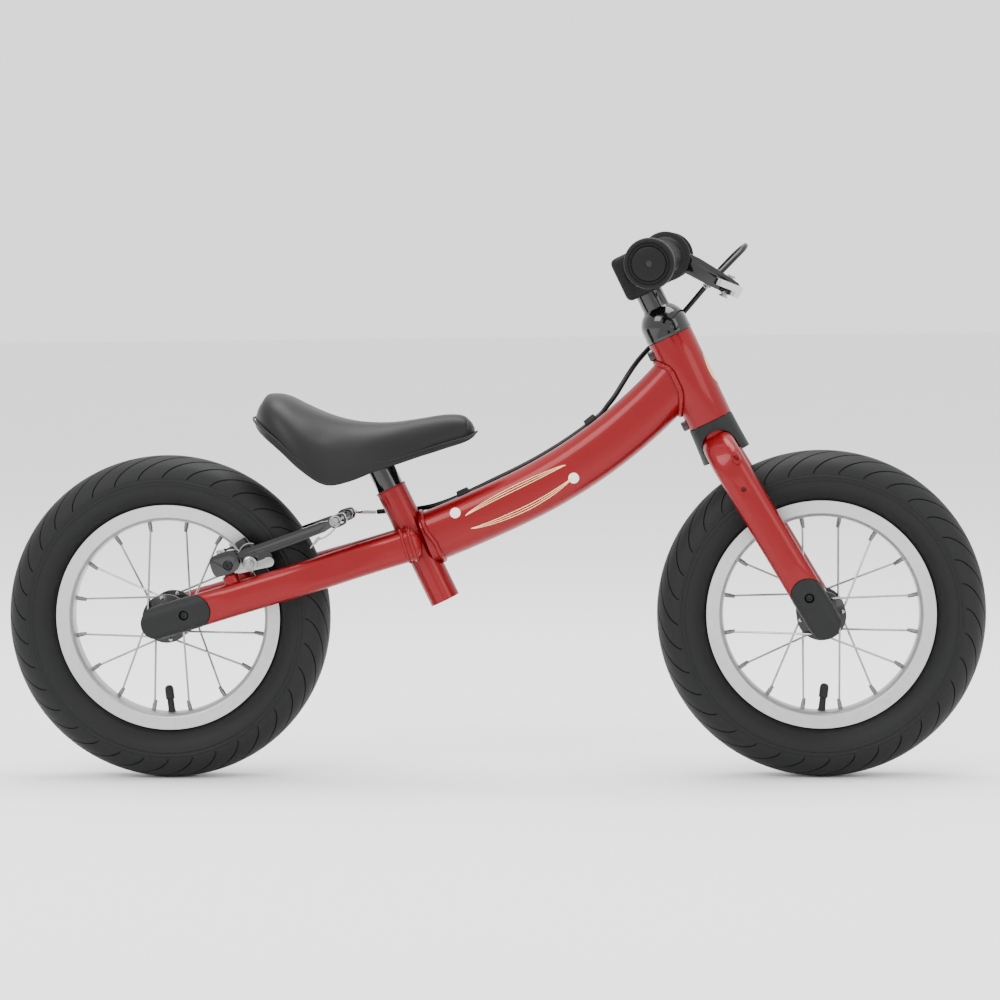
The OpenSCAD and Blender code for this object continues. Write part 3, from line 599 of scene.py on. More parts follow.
angles = [(i + 0.25) * 2 * math.pi / 150 for i in range(150)]
headWeld = [meeting(a, headPlace, frameSizes["headRadius"] + 0.8, 322, 250, lambda s,
        b: mainPoint(s, b, 0.6)) for a in angles]
finished(weldBead(headWeld, 2.7, 0.05), "headWeld", "frame", "red_paint")
seatWeld = [meeting(a, seatPlace, frameSizes["seatRadius"] + 0.6, 4 if math.sin(a) > 0 else 8, 70, lambda s,
        b: mainPoint(s, b, 0.6)) for a in angles]
finished(weldBead(seatWeld, 2.3, 0.05), "seatWeld", "frame", "red_paint")

chainstay = bentTube(frameSizes["stayAcross"], frameSizes["stayTall"], staySteps, startX=-16, tip=9)
moved(chainstay, at(0, -43, 0))


def endCutters(width, mid, reach):  # what the dropout takes from the tube's end
    def block(outline, low, high):
        return moved(plate(outline, low, high), turn(90, "X"))
    outer = block(stadium(-3, reach - 15.3, 15.9), 41, mid + 30)
    inner = block(stadium(-3, reach - 23.9, 15.9), mid - 30, 34)
    tailRing = [(-80, -60), (-3, -60)] + [(-3 + 15.6 * math.cos(a), 15.6 * math.sin(a)) for a in
                                        (math.pi * (1.5 - i / 24) for i in range(25))] + [(-3, 60), (-80, 60)]
    tail = block(tailRing, 0, 90)
    hole = block([(5.1 * math.cos(a), 5.1 * math.sin(a)) for a in (i * math.pi / 16 for i in range(32))], 0,
            90)
    return outer, inner, tail, hole


for cutter in endCutters(20, 43, 48):
    chainstay = carved(chainstay, cutter)
moved(chainstay, stayPlace)
chainstay = carved(chainstay, moved(rod(13.9, -60, 160, 48), seatPlace))
chainstay = finished(bevelled(chainstay, 0.5, 2, 50), "chainstayRight", "frame", "red_paint",
        replaces=["chainstay_right"])
mirroredTwin(chainstay, "chainstayLeft", "frame", "red_paint", replaces=["chainstay_left"])


def stayPoint(s, angle, grow=0.0):  # skin of the right stay's straight end and bullet tip
    endAt, across, tall = 242.9, frameSizes["stayAcross"] + 2 * grow, frameSizes["stayTall"] + 2 * grow
    shrink = 1.0
    if s > endAt:
        shrink = math.cos(math.asin(min(0.999, (s - endAt) / (across / 2))))
    u, v = ovalPoint(angle, across, tall)
    m = stayPlace.copy()
    m.translation = m.translation * 1000
    return m @ Vector((s, -23 + u * shrink, v * shrink))


def tipRing(s, radius, name):
    ring = weldBead([stayPoint(s, a, 0.1) for a in angles], radius, 0.05)
    ring = finished(ring, name + "Right", "frame", "red_paint")
    mirroredTwin(ring, name + "Left", "frame", "red_paint")


tipRing(237.5, 1.5, "stayWeldOuter")
tipRing(244.5, 1.9, "stayWeldInner")

bossRight = moved(spun([(0, -32), (7.5, -32), (7.5, -13), (7.0, -12), (5.2, -12), (5.2, -10.9), (4, -10.9),
        (4, 9.5), (3.4, 10), (0, 10)], 40),
                  armPlace @ at(0, -38, 0))
bossRight = finished(bevelled(bossRight, 0.3, 2), "brakeBossRight", "frame", "red_paint",
        replaces=["brake_bosses"])
mirroredTwin(bossRight, "brakeBossLeft", "frame", "red_paint")
bossFillet = weldBead([(8.3 * math.cos(a), 8.3 * math.sin(a) - 38, -29.0)
        for a in (i * math.pi / 40 for i in range(80))], 1.4)
bossFillet = finished(bossFillet, "brakeBossWeldRight", "frame", "red_paint", armPlace)
mirroredTwin(bossFillet, "brakeBossWeldLeft", "frame", "red_paint")
print("frame made")

# fork
forkLeg = bentTube(21, 31, [(171,), (30, 90)], startX=-16)
moved(forkLeg, at(0, -42, 0))
for cutter in endCutters(21, 42, 41):
    forkLeg = carved(forkLeg, cutter)
bossHole = moved(rod(2.5, 46, 70, 32), at(140, 0, 0) @ turn(90, "X"))
forkLeg = carved(forkLeg, bossHole)
moved(forkLeg, legPlace)
forkLeg = carved(forkLeg, moved(rod(18.5, -80, 60, 48), headPlace))
forkLeg = finished(bevelled(forkLeg, 0.5, 2, 50), "forkLegRight", "fork", "red_paint",
        replaces=["fork_leg_right"])
mirroredTwin(forkLeg, "forkLegLeft", "fork", "red_paint", replaces=["fork_leg_left"])

# the small raised eyelet near the crown, above the threaded boss whose hole is cut into the leg earlier
eyelet = spun([(2.2, -1.2), (3.9, -1.2), (4.3, 0.2), (3.9, 1.1), (3.0, 1.3), (2.2, 0.8)], 40)
moved(eyelet, Matrix.Diagonal((1.55, 1, 1, 1)))
eyelet = finished(moved(eyelet, at(168.5, -52.6, -8.5) @ turn(90, "X") @ turn(12, "X")), "forkEyeletRight",
        "fork", "red_paint", legPlace)
mirroredTwin(eyelet, "forkEyeletLeft", "fork", "red_paint")

crownTube = bevelled(ringTube(19, 14.35, -34, -1), 0.5)
finished(crownTube, "forkCrown", "fork", "red_paint", headPlace, replaces=["fork_crown"])

cover = spun([(19.3, -35.5), (23.5, -35.5), (22.9, -28), (22.1, -14), (21.6, -2), (21.2, -0.5),
        (19.3, -0.5)], 96)
moved(cover, headPlace)
tunnel = moved(plate(stadium(50, 182.8, 16.3), -60, 60), legPlace @ turn(90, "X"))
cover = carved(cover, tunnel)
wheelRoom = moved(rod(100, -60, 60, 96), legPlace @ turn(90, "X"))
cover = carved(cover, wheelRoom)
finished(bevelled(cover, 0.6, 3, 30), "crownCover", "fork", "matte_plastic", replaces=["crown_cover"])

dome = spun([(18.6, 87.3), (22.0, 87.3), (22.3, 89.5), (22.3, 90.3), (22.0, 91.2), (22.0, 98)]
            + [(5 + 17 * math.cos(a), 98 + 19.5 * math.sin(a))
            for a in (math.radians(6 * i) for i in range(1, 11))]
            + [(13.0, 116.4), (13.0, 113), (15, 111), (18.2, 99), (18.6, 96)], 96)
finished(bevelled(dome, 0.35, 2, 45), "headsetDome", "fork", "gloss_black", headPlace,
        replaces=["headset_dome"])
print("fork made")

# wheels
tyreSizes = {"middle": 129.6, "high": 23.4, "wide": 27.0, "sectors": 36, "grooveDepth": 1.5,
        "grooveWidth": 0.27}
sideAngles = [-55, -50, -44, -37, -30, -22, -15, -11, -9, -7.6, -6.4, -5.4, -4.2, -2.8, -0.8, 1.2, 2.4, 3.6,
        4.8, 6.0, 7.4,
              9.0, 11, 14, 18, 23, 28, 34, 40, 46, 52, 58, 64, 70, 75, 79, 82, 86]
beadRows = [(101, 3), (101, 10.8), (106.5, 10.9), (107.3, 11.4), (108.0, 12.3), (108.9, 13.6), (109.4, 14.6)]


def tyreRow(phi):  # bump outwards of the sidewall's rings and the thicker tread
    ridge = sum(high * math.exp(-((phi - middle) / wide) ** 2) for middle, high,
            wide in ((-6.0, 0.7, 1.6), (3.0, 0.9, 1.8), (-52, 0.6, 3.0)))
    tread = 0.55 * max(0.0, min(1.0, (phi - 5) / 4))
    return ridge + tread


def sweepBack(phi):  # how far a groove has run round the wheel at this height on the tread, in degrees
    return 17.7 * max(0.0, (phi - 8.4) / 68.6) ** 1.55


def tyrePiece():
    rows = [(None, r, z) for r, z in beadRows] + [(a, 1, 0) for a in sideAngles] + [(90, 1, 0)]
    rows += [(a, -1, 0) for a in reversed(sideAngles)] + [(None, r, -z) for r, z in reversed(beadRows)]
    fixed = [-1.0, -0.5, 0.5, 1.0, None, None, -1.0, -0.5, 0.5, 1.0, None, None]
    plain = {4: 1.7, 5: 3.4, 10: 6.7, 11: 8.4}
    pitch = 360 / tyreSizes["sectors"]

    def where(i, j):
        sector, slotIndex = divmod(i, 12)
        phi, side, height = rows[j]
        near = slotIndex < 4
        if phi is None:
            swing, depth, offset = 0.0, 0.0, 1.0
        else:
            swing = -sweepBack(phi)
            run = max(0.0, min(1.0, (phi - 9) / 70))
            width = tyreSizes["grooveWidth"] * (1 + 1.3 * run)
            ends = max(0.0, min(1.0, (phi - 8.5) / 2.5, (81 - phi) / 4))
            middle = fixed[slotIndex] is not None and abs(fixed[slotIndex]) < 0.6
            live = middle and (side == 1) == near and phi < 85
            depth = tyreSizes["grooveDepth"] * ends if live else 0.0
            offset = width
        if fixed[slotIndex] is None:
            turnAt = plain[slotIndex]
        else:
            turnAt = fixed[slotIndex] * offset * (1 if phi is not None else tyreSizes["grooveWidth"]) + (0
                    if near else pitch / 2)
        angle = math.radians(sector * pitch + turnAt + swing)
        if phi is None:
            r, z = side, height
        else:
            p = math.radians(phi)
            nr, nz = math.sin(p) / tyreSizes["high"], math.cos(p) / tyreSizes["wide"]
            size = math.hypot(nr, nz)
            lift = tyreRow(phi) - depth
            r = tyreSizes["middle"] - 0.55 + (tyreSizes["high"]) * math.sin(p) + lift * nr / size
            z = side * ((tyreSizes["wide"] - 0.55) * math.cos(p) + lift * nz / size)
        return Vector((r * math.cos(angle), r * math.sin(angle), z))

    return gridSkin(12 * tyreSizes["sectors"], len(rows), where, True, True)


rimSizes = {"outline": [(106.8, 13.2), (105.6, 13.2), (104.9, 12.9), (95.6, 12.75), (94.6, 12.4),
        (93.4, 10.9), (92.3, 9.7),
                        (91.5, 7.2), (91.05, 4.2), (91.0, 0)],
            "inside": [(93.4, 0), (93.4, 3.7), (94.0, 8.4), (95.8, 10.8), (104.4, 11.4), (105.4, 10.9),
            (106.8, 11.2)]}
spokeSizes = {"radius": 1.0, "flange": 20.0, "lean": 4.2, "nippleFoot": 81.8}


def rimPiece():
    half = rimSizes["outline"] + [(r, -z) for r, z in reversed(rimSizes["outline"][:-1])]
    inner = rimSizes["inside"][1:]
    profile = half + [(r, -z) for r, z in reversed(inner)] + [(93.4, 0)] + inner
    return bevelled(spun(profile, 180), 0.25, 1, 25)


def polar(r, degrees, z):
    return Vector((r * math.cos(math.radians(degrees)), r * math.sin(math.radians(degrees)), z))


def along(foot, tip):  # a place whose Z runs from foot to tip
    spot = (Vector(tip) - Vector(foot)).to_track_quat("Z", "Y").to_matrix().to_4x4()
    spot.translation = Vector(foot) / 1000
    return spot


def spokeSet():
    wires, heads, nipples = [], [], []
    button = spun([(0, 0), (2.1, 0), (2.0, 0.5), (1.5, 0.95), (0.8, 1.15), (0, 1.2)], 16)
    nipple = spun([(0, 0), (1.45, 0), (1.75, 0.5), (1.75, 3.2), (2.05, 3.6), (2.05, 12.2), (0, 12.2)], 14)
    for k in range(4):
        lace, side = (1 if k < 2 else -1), (1 if k % 2 == 0 else -1)
        nippleTurn = (k + 0.5) * 22.5
        hole = nippleTurn + lace * 45
        y, out = side * spokeSizes["flange"], side * lace * spokeSizes["lean"]
        head, root = polar(20, hole, y - out * 0.55), polar(20, hole, y + out)
        foot, rimEnd = polar(spokeSizes["nippleFoot"], nippleTurn, y * 0.12), polar(94.5, nippleTurn, 0)
        first = root + (foot - root) * 0.02
        last = foot + (rimEnd - foot) * 0.3
        wires.append(cordPiece([head, polar(20, hole, y + out * 0.6), first, first + (last - first) * 0.05,
                last], spokeSizes["radius"], 2, samples=4))
        heads.append(moved(copyOf(button), along(polar(20, hole, y - out * 0.4), polar(20, hole, y - out))))
        nipples.append(moved(copyOf(nipple), along(foot, rimEnd)))
    bpy.data.objects.remove(button)
    bpy.data.objects.remove(nipple)
    groups = []
    for group in (wires + heads, nipples):
        for quarter in (1, 2, 3):
            group += [moved(copyOf(o), turn(90 * quarter, "Z")) for o in group[:len(group) // quarter]]
        groups.append(joined(*group))
    return groups


hubSizes = {"outline": [(7, -28.4), (14.8, -28.4), (15.5, -27.8), (15.5, -22.2), (22.4, -21.5), (23, -21.1),
        (23, -18.9), (22.4, -18.5),
                        (13, -18.2), (11.4, -16.5), (11, -14), (11, 14), (11.4, 16.5), (13, 18.2),
                        (22.4, 18.5), (23, 18.9),
                        (23, 21.1), (22.4, 21.5), (15.5, 22.2), (15.5, 27.8), (14.8, 28.4), (7, 28.4)]}
valveSizes = {"stem": [(0, 0), (4.6, 0), (4.4, 1.2), (3.6, 2.2), (3.3, 4), (3.1, 12.6), (3.4, 12.9),
        (3.4, 13.4), (0, 13.4)],
              "cap": [(0, 13.7), (4.1, 13.7), (4.3, 14.3), (4.25, 22.5), (3.9, 24.6), (3.0, 26.0),
              (1.5, 26.7), (0, 26.8)],
              "lean": {"rear": -6, "front": 7}}

tyre, rim, hub = tyrePiece(), rimPiece(), spun(hubSizes["outline"], 72)
bevelled(hub, 0.3, 2, 30)
spokes, nipples = spokeSet()
for end in ("rear", "front"):
    body, place = end + "_wheel", wheelPlace[end]
    tilt = turn(0 if end == "rear" else 3, "Z")
    finished(copyOf(tyre), end + "Tyre", body, "tyre_rubber", place @ tilt, angle=30,
            replaces=[end + "_tyre"])
    finished(copyOf(rim), end + "Rim", body, "rim_alloy", place, replaces=[end + "_rim"])
    finished(copyOf(spokes), end + "Spokes", body, "bright_steel", place, replaces=[end + "_spokes"])
    finished(copyOf(nipples), end + "Nipples", body, "bright_steel", place, material=nippleDark)
    finished(copyOf(hub), end + "Hub", body, "hub_alloy", place, replaces=[end + "_hub"])
    tube = spun([(128.3 + 19 * math.cos(a), 19 * math.sin(a))
            for a in (math.radians(20 * i) for i in range(18))], 72)
    stem = spun(valveSizes["stem"], 32)
    cap = bevelled(spun(valveSizes["cap"], 12), 0.35, 2, 20)
    valve = moved(joined(stem, cap), at(0, -92.5, 0) @ turn(-90, "X") @ turn(valveSizes["lean"][end], "Y"))
    finished(joined(tube, valve), end + "InnerTube", body, "tube_rubber", place,
            replaces=[end + "_inner_tube"])
for spare in (tyre, rim, hub, spokes, nipples):
    bpy.data.objects.remove(spare)
print("wheels made")

# end caps with their screws, over the axle nuts
capSizes = {"radius": 15.6, "screwAt": 23}


def endCap(across, tall, mid, reach, place, name, body, node):
    cap = bentTube(across + 2, tall + 0.6, [(100,)], startX=-40)
    moved(cap, at(0, -mid, 0))
    block = moved(plate(stadium(-3, reach - capSizes["radius"], capSizes["radius"], 28), 41.1, mid + 30),
            turn(90, "X"))
    cap = carved(cap, block, "INTERSECT")
    cap = carved(cap, moved(rod(10.2, 0, mid + 7.4, 40), turn(90, "X")))
    bore = spun([(0, 0), (2.2, 0), (2.2, mid + 6), (4.3, mid + 6), (4.6, mid + 8.6), (4.6, mid + 30),
            (0, mid + 30)], 40)
    cap = carved(cap, moved(bore, at(capSizes["screwAt"], 0, 0) @ turn(90, "X")))
    cap = finished(bevelled(cap, 1.1, 4, 40), name + "Right", body, "matte_plastic", place, replaces=[node])
    mirroredTwin(cap, name + "Left", body, "matte_plastic")
    screw = spun([(0, 41.2), (2.1, 41.2), (2.1, mid + 6.1), (3.9, mid + 6.1), (4.1, mid + 6.6),
            (4.1, mid + 8.4), (3.4, mid + 9.0),
                  (1.9, mid + 9.1), (1.7, mid + 7.4), (0, mid + 7.2)], 6 * 6)
    screw = finished(moved(screw, at(capSizes["screwAt"], 0, 0) @ turn(90, "X")), name + "ScrewRight", body,
            "satin_black_metal", place,
                     replaces=[node.replace("end_caps", "cap_screws")])
    mirroredTwin(screw, name + "ScrewLeft", body, "satin_black_metal")


endCap(20, 31, 43, 48, stayPlace, "rearEndCap", "frame", "rear_end_caps")
endCap(21, 31, 42, 41, legPlace, "frontEndCap", "fork", "front_end_caps")
print("end caps made")

# cockpit
barSizes = {"radius": 11.1, "middle": 18, "bend": 25, "turn": 50, "slant": 21.8, "sweep": 8.8,
        "end": (16.33, 189.5), "high": 155}
gripSizes = {"length": 94, "body": 16.0, "bore": 11.12}
barEnd = headPlace @ at(16.33, -190, 155) @ turn(-8.8, "Z") @ turn(90, "X")


def barHalf():
    turned, points = math.radians(barSizes["turn"]), []
    r, mid = barSizes["bend"], barSizes["middle"]
    for i in range(11):
        a = turned * i / 10
        points.append((r * (1 - math.cos(a)), mid + r * math.sin(a)))
    px, py = points[-1]
    px, py = px + barSizes["slant"] * math.sin(turned), py + barSizes["slant"] * math.cos(turned)
    back = math.radians(barSizes["sweep"])
    for i in range(11):
        h = turned - (turned + back) * i / 10
        points.append((px + r * (math.cos(h) - math.cos(turned)), py + r * (math.sin(turned) - math.sin(h))))
    return points + [barSizes["end"]]


half = barHalf()
line = [(x, -y, barSizes["high"]) for x, y in reversed(half)] + [(x, y, barSizes["high"]) for x, y in half]
handlebar = cordPiece(line, barSizes["radius"], 12, samples=1)
finished(handlebar, "handlebar", "handlebar_set", "gloss_black", headPlace, replaces=["handlebar"])
stem = ringTube(12.7, 10.5, 22, 150)
wedgeCut = moved(roundedBox(120, 120, 60, 0.1, 1), at(0, 0, 22) @ turn(30, "Y") @ at(0, 0, -30))
finished(bevelled(carved(stem, wedgeCut), 0.3), "stemTube", "handlebar_set", "gloss_black", headPlace,
        replaces=["stem_tube"])
bolt = spun([(0, 167.2), (4.4, 167.2), (6.2, 167.2), (6.5, 167.6), (6.5, 172.4), (6.0, 173.1), (3.9, 173.1),
        (0, 173.1)], 48)
socket = moved(rod(3.4, 0, 6, 6), at(0, 0, 169.6))
finished(bevelled(carved(bolt, socket), 0.2, 2), "stemBoltHead", "handlebar_set", "satin_black_metal",
        headPlace)


def gripProfile():
    start, radius = -gripSizes["length"], gripSizes["body"]
    profile = [(gripSizes["bore"], start), (21.0, start), (22.2, start + 0.7), (22.5, start + 2.0),
            (22.2, start + 3.4), (21.0, start + 4.1),
               (18.2, start + 4.6), (radius + 0.4, start + 6.4)]
    z = start + 7.4
    while z < -13.5:
        profile += [(radius, z), (radius, z + 1.9), (radius - 1.0, z + 2.25), (radius - 1.0, z + 3.05)]
        z += 3.4
    profile += [(radius, -11.6), (17.5, -9.6), (21.4, -9.0), (22.3, -8.2), (22.5, -6.8), (22.5, -2.6),
            (22.1, -1.2), (21.2, -0.35),
                (20.0, 0), (18.9, -0.1), (18.3, -0.9), (17.7, -0.9), (17.2, -0.1), (16.2, 0), (15.6, -0.8),
                (15.2, -0.9),
                (14.9, 0.1), (14.2, 0.5), (9.0, 0.9), (3.4, 1.1), (2.9, 0.7), (2.7, -1.4), (0, -1.4),
                (0, -2.4)]
    return profile + [(gripSizes["bore"], -2.6)]


grip = finished(spun(gripProfile(), 96), "gripRight", "handlebar_set", "grip_rubber", barEnd, angle=30,
        replaces=["grip_right"])
mirroredTwin(grip, "gripLeft", "handlebar_set", "grip_rubber", angle=30, replaces=["grip_left"])


def puffed(obj, push, steps=20,
        limit=3.0):  # a soft cover filled from inside, then eased so it can't run away
    start = [v.co.copy() for v in obj.data.vertices]
    pick(obj)
    bpy.ops.object.modifier_add(type="CLOTH")
    cloth = obj.modifiers[-1]
    cloth.settings.use_pressure = True
    cloth.settings.uniform_pressure_force = push
    cloth.settings.tension_stiffness = cloth.settings.compression_stiffness = 40
    cloth.settings.bending_stiffness = 6
    cloth.settings.effector_weights.gravity = 0
    for number in range(1, steps + 1):
        bpy.context.scene.frame_set(number)
    bpy.ops.object.modifier_apply(modifier=cloth.name)
    bpy.context.scene.frame_set(1)
    for v, was in zip(obj.data.vertices, start):
        go = v.co - was
        if go.length > limit:
            v.co = was + go * (limit / go.length)
    return obj


padSizes = {"width": 40.4, "high": 42.4, "long": 60.4, "corner": 5.5, "middle": 153}
padShell = roundedBox(padSizes["width"], padSizes["long"], padSizes["high"], padSizes["corner"], 5)
moved(padShell, at(0, 0, padSizes["middle"]))
for cutter in [moved(rod(11.6, -36, 36, 40), at(0.9, 0, 155) @ turn(90, "X")),
               rod(13.0, 100, 150, 40),
               rod(7.5, 150, 190, 32)]:
    padShell = carved(padShell, cutter)
addModifier(padShell, "REMESH", mode="VOXEL", voxel_size=1.6)
addModifier(padShell, "SMOOTH", factor=0.5, iterations=3)
padShell = finished(padShell, "handlebarPad", "handlebar_set", "pad_foam", headPlace, angle=60,
        replaces=["handlebar_pad"])
# lever bracket, lever and cable adjuster
leverSizes = {"blade": [(54, 0), (66, 0), (73, -12), (74, -24), (68, -42), (61, -60), (58, -74), (56, -80),
        (50, -81),
                                            (47, -76), (49, -64), (55, -46), (62, -28), (62, -16), (54, -9)],
              "body": [(8, 12), (14, -8), (42, -10), (62, -11.5), (74, -7), (75, 0), (70, 3)]}
bracket = moved(plate(softened([(x, y) for x, y in reversed(leverSizes["body"])], 2), 0, 17), at(-4, 8.5, 0)
        @ turn(90, "X"))
clampRing = moved(spun([(0, -6.5), (13.6, -6.5), (14.5, -5.6), (14.5, 5.6), (13.6, 6.5), (0, 6.5)], 64),
        turn(90, "X"))
bracket = carved(bracket, clampRing, "UNION")
bracket = carved(bracket, moved(rod(11.15, -40, 40, 48), turn(-49, "Y") @ turn(-8.8, "Z") @ turn(90, "X")))
bracket = carved(bracket, moved(roundedBox(60, 24, 20.3, 0.3, 1), at(78, -10, -9.85)))
bracket = carved(bracket, moved(rod(2.5, -30, 30, 32), at(60, -3, 0)))
finished(bevelled(bracket, 0.7, 3, 40), "leverBracket", "handlebar_set", "gloss_black", leverPlace,
        replaces=["lever_bracket"])
clampScrew = moved(spun([(0, -8.5), (2.4, -8.5), (2.4, 6), (4.1, 6), (4.3, 6.4), (4.3, 8.6), (3.7, 9.2),
        (0, 9.2)], 32), at(-12.5, 0, -3) @ turn(65, "Y"))
finished(clampScrew, "leverClampScrew", "handlebar_set", "bright_steel", leverPlace)
blade = moved(plate(softened(list(reversed(leverSizes["blade"])), 3), -6, 0), Matrix())
blade = carved(blade, moved(rod(2.5, -20, 20, 32), at(60, -3, 0)))
knuckle = plate(softened([(54, 0), (54, -9), (62, -25), (72, -25), (74, -12), (66, 0)], 3), -11, -2)
knuckle = carved(knuckle, moved(rod(2.5, -20, 20, 32), at(60, -3, 0)))
blade = carved(blade, knuckle, "UNION")
finished(bevelled(blade, 1.7, 4, 50), "leverBlade", "brake_lever", "chrome", leverPlace,
        replaces=["lever_blade"])
pinHead = spun([(0, -12.4), (2.4, -12.4), (3.9, -11.9), (4.1, -11.4), (4.1, -10.6), (2.44, -10.6),
        (2.44, 4.4), (4.1, 4.4), (4.1, 5.2), (3.2, 5.9), (0, 5.9)], 36)
finished(moved(pinHead, at(60, -3, 0)), "leverPivotPin", "handlebar_set", "bright_steel", leverPlace)
adjusterRun = along((204, -71.5, 461.5), (209.7, -66.28, 466.72))
adjuster = spun([(1.3, -2.6), (3.0, -2.6), (3.0, 0), (4.1, 0.2), (4.3, 0.8), (4.3, 3.6), (3.9, 4.0),
        (3.7, 4.3), (4.3, 4.7), (4.3, 8.4),
                 (3.9, 9.1), (2.7, 9.4), (1.3, 9.4)], 40)
finished(adjuster, "cableAdjuster", "handlebar_set", "bright_steel", adjusterRun, replaces=["cable_adjuster"])
print("cockpit made")

# saddle and seatpost
saddleRibs = [(-223, 8, 341, 336, 336), (-218, 30, 354, 333, 335), (-208, 46, 361.5, 327, 332),
        (-192, 57, 361, 315, 327),
              (-172, 62, 351.5, 297, 318), (-150, 58, 342.5, 283, 308), (-128, 47, 337.5, 286, 308),
              (-106, 37, 336.5, 294.5, 308),
              (-84, 31, 338.5, 301, 308.5), (-62, 27, 341.5, 308, 312), (-42, 24, 343.7, 314, 316),
              (-26, 20, 342.8, 318, 319),
              (-17, 14, 337, 321, 321.5), (-13, 6, 330, 324, 324)]
saddleSizes = {"around": 72, "between": 6, "push": 4.0, "limit": 2.2, "piping": 1.1}


def ribLevel(t):  # values between the ribs, t in rib steps
    i = max(0, min(len(saddleRibs) - 2, int(t)))
    f = t - i
    p0, p1, p2, p3 = (Vector(saddleRibs[max(0, min(len(saddleRibs) - 1, i + k))][:3] + (0,))
            for k in (-1, 0, 1, 2))
    q0, q1, q2, q3 = (Vector(saddleRibs[max(0, min(len(saddleRibs) - 1, i + k))][3:] + (0,))
            for k in (-1, 0, 1, 2))
    mix = []
    for a, b, c, d in ((p0, p1, p2, p3), (q0, q1, q2, q3)):
        mix.append(0.5 * (2 * b + (c - a) * f + (2 * a - 5 * b + 4 * c - d) * f * f
                + (3 * b - a - 3 * c + d) * f ** 3))
    return mix[0].x, mix[0].y, mix[0].z, mix[1].x, mix[1].y


def saddlePoint(t, angle, grow=0.0):
    x, wide, crown, rimZ, under = ribLevel(t)
    c, q = math.cos(angle), math.sin(angle)
    y = (wide + grow) * math.copysign(abs(c) ** 0.75, c)
    if q >= 0:
        z = rimZ + (crown - rimZ) * q ** 0.85
    else:
        mix = max(0.0, min(1.0, (-q - 0.5) / 0.3))
        z = (rimZ - 3 * min(1.0, -q / 0.3)) * (1 - mix) + under * mix
    return Vector((x, y, z))


rows = (len(saddleRibs) - 1) * saddleSizes["between"]
around = saddleSizes["around"]
saddle = gridSkin(around, rows, lambda i, j: saddlePoint(j / saddleSizes["between"],
        2 * math.pi * i / around), True, False)
saddle.data.transform(Matrix.Scale(0.001, 4))
puffed(saddle, saddleSizes["push"], limit=saddleSizes["limit"] / 1000)
saddle.data.transform(Matrix.Scale(1000, 4))
addModifier(saddle, "SMOOTH", factor=0.5, iterations=4)
addModifier(saddle, "SUBSURF", levels=1, render_levels=1)
saddle = finished(saddle, "saddleCushion", "saddle_set", "saddle_cover", angle=70,
        replaces=["saddle_cushion"])


def pipeAngle(t):  # the seam keeps a little above the lower edge, with a small step up behind the post
    x, wide, crown, rimZ, under = ribLevel(t)
    lift = 1.8 + 3.4 / (1 + math.exp((x + 104) / 4)) + 2.2 * math.exp(-((x + 112) / 9) ** 2)
    return math.asin(min(0.9, (lift / max(6.0, crown - rimZ)) ** (1 / 0.85)))


pipeLine = []
for side in (1, -1):
    for k in range(90):
        t = (k if side == 1 else 90 - k) * (len(saddleRibs) - 1.1) / 90 + 0.05
        a = pipeAngle(t)
        pipeLine.append(saddlePoint(t, a if side == 1 else math.pi - a, 0.3))
finished(cordPiece(pipeLine, saddleSizes["piping"], 3, cyclic=True, samples=1), "saddlePiping", "saddle_set",
        "saddle_cover")

post = spun([(10.7, 38), (12.4, 38), (12.7, 38.4), (12.7, 152), (10.7, 152)], 72)
post = carved(post, moved(roundedBox(80, 80, 40, 0.1, 1), at(0, 0, 147) @ turn(25.3, "Y") @ at(0, 0, 22)))
finished(bevelled(post, 0.2, 1), "seatpostTube", "saddle_set", "gloss_black", seatPlace,
        replaces=["seatpost"])
platePlace = at(plateX, 0, plateZ)
postPlate = roundedBox(44, 34, 2.6, 1.0, 3)
finished(moved(postPlate, at(0, 0, 1.4)), "seatpostPlate", "saddle_set", "satin_black_metal", platePlace)
for i, (x, y) in enumerate([(-18, -12.5), (18, -12.5), (-18, 12.5), (18, 12.5)]):
    boltHead = spun([(0, -4), (3.2, -4), (3.8, -3.6), (4, -3.0), (4, -0.4), (0, -0.4)], 6)
    finished(moved(bevelled(boltHead, 0.3), at(x, y, 0)), "saddleBolt%d" % (i + 1), "saddle_set",
            "bright_steel", platePlace)
basePlate = roundedBox(58, 40, 3.8, 1.5, 3)
finished(moved(basePlate, at(-1, 0, 5.1)), "saddleBase", "saddle_set", "matte_plastic", platePlace,
        replaces=["saddle_base"])
clampBolt = spun([(0, 0), (6.6, 0), (7, 0.5), (7, 5.4), (6.4, 6), (4.4, 6), (0, 6)], 48)
clampBolt = carved(clampBolt, moved(rod(3.5, 0, 5, 6), at(0, 0, 2)))
finished(moved(bevelled(clampBolt, 0.3), at(0, 0, 101.5) @ turn(-90, "X") @ at(0, 0, 21.4)), "seatClampBolt",
        "frame", "satin_black_metal",
        seatPlace, replaces=["seat_clamp_bolt"])
print("saddle made")

# brake
armSizes = {"padTurn": 14.1}


def armSlot(x0, x1, z, r, low, high):
    return moved(plate(stadium(x0, x1, r, 10), low, high), at(0, 0, z) @ turn(90, "X"))


def armPair(obj, stem, slot, node=None):  # the finished piece on the right arm and its twin on the left one
    obj = finished(obj, stem + "Right", "right_brake_arm", slot, armPlace, replaces=[node + "_right"] if node
            else ())
    mirroredTwin(obj, stem + "Left", "left_brake_arm", slot, replaces=[node + "_left"] if node else ())


def drilled(obj, x, z, r, low=0, high=60):
    return carved(obj, moved(rod(r, low, high, 36), at(x, 0, z) @ turn(90, "X")))


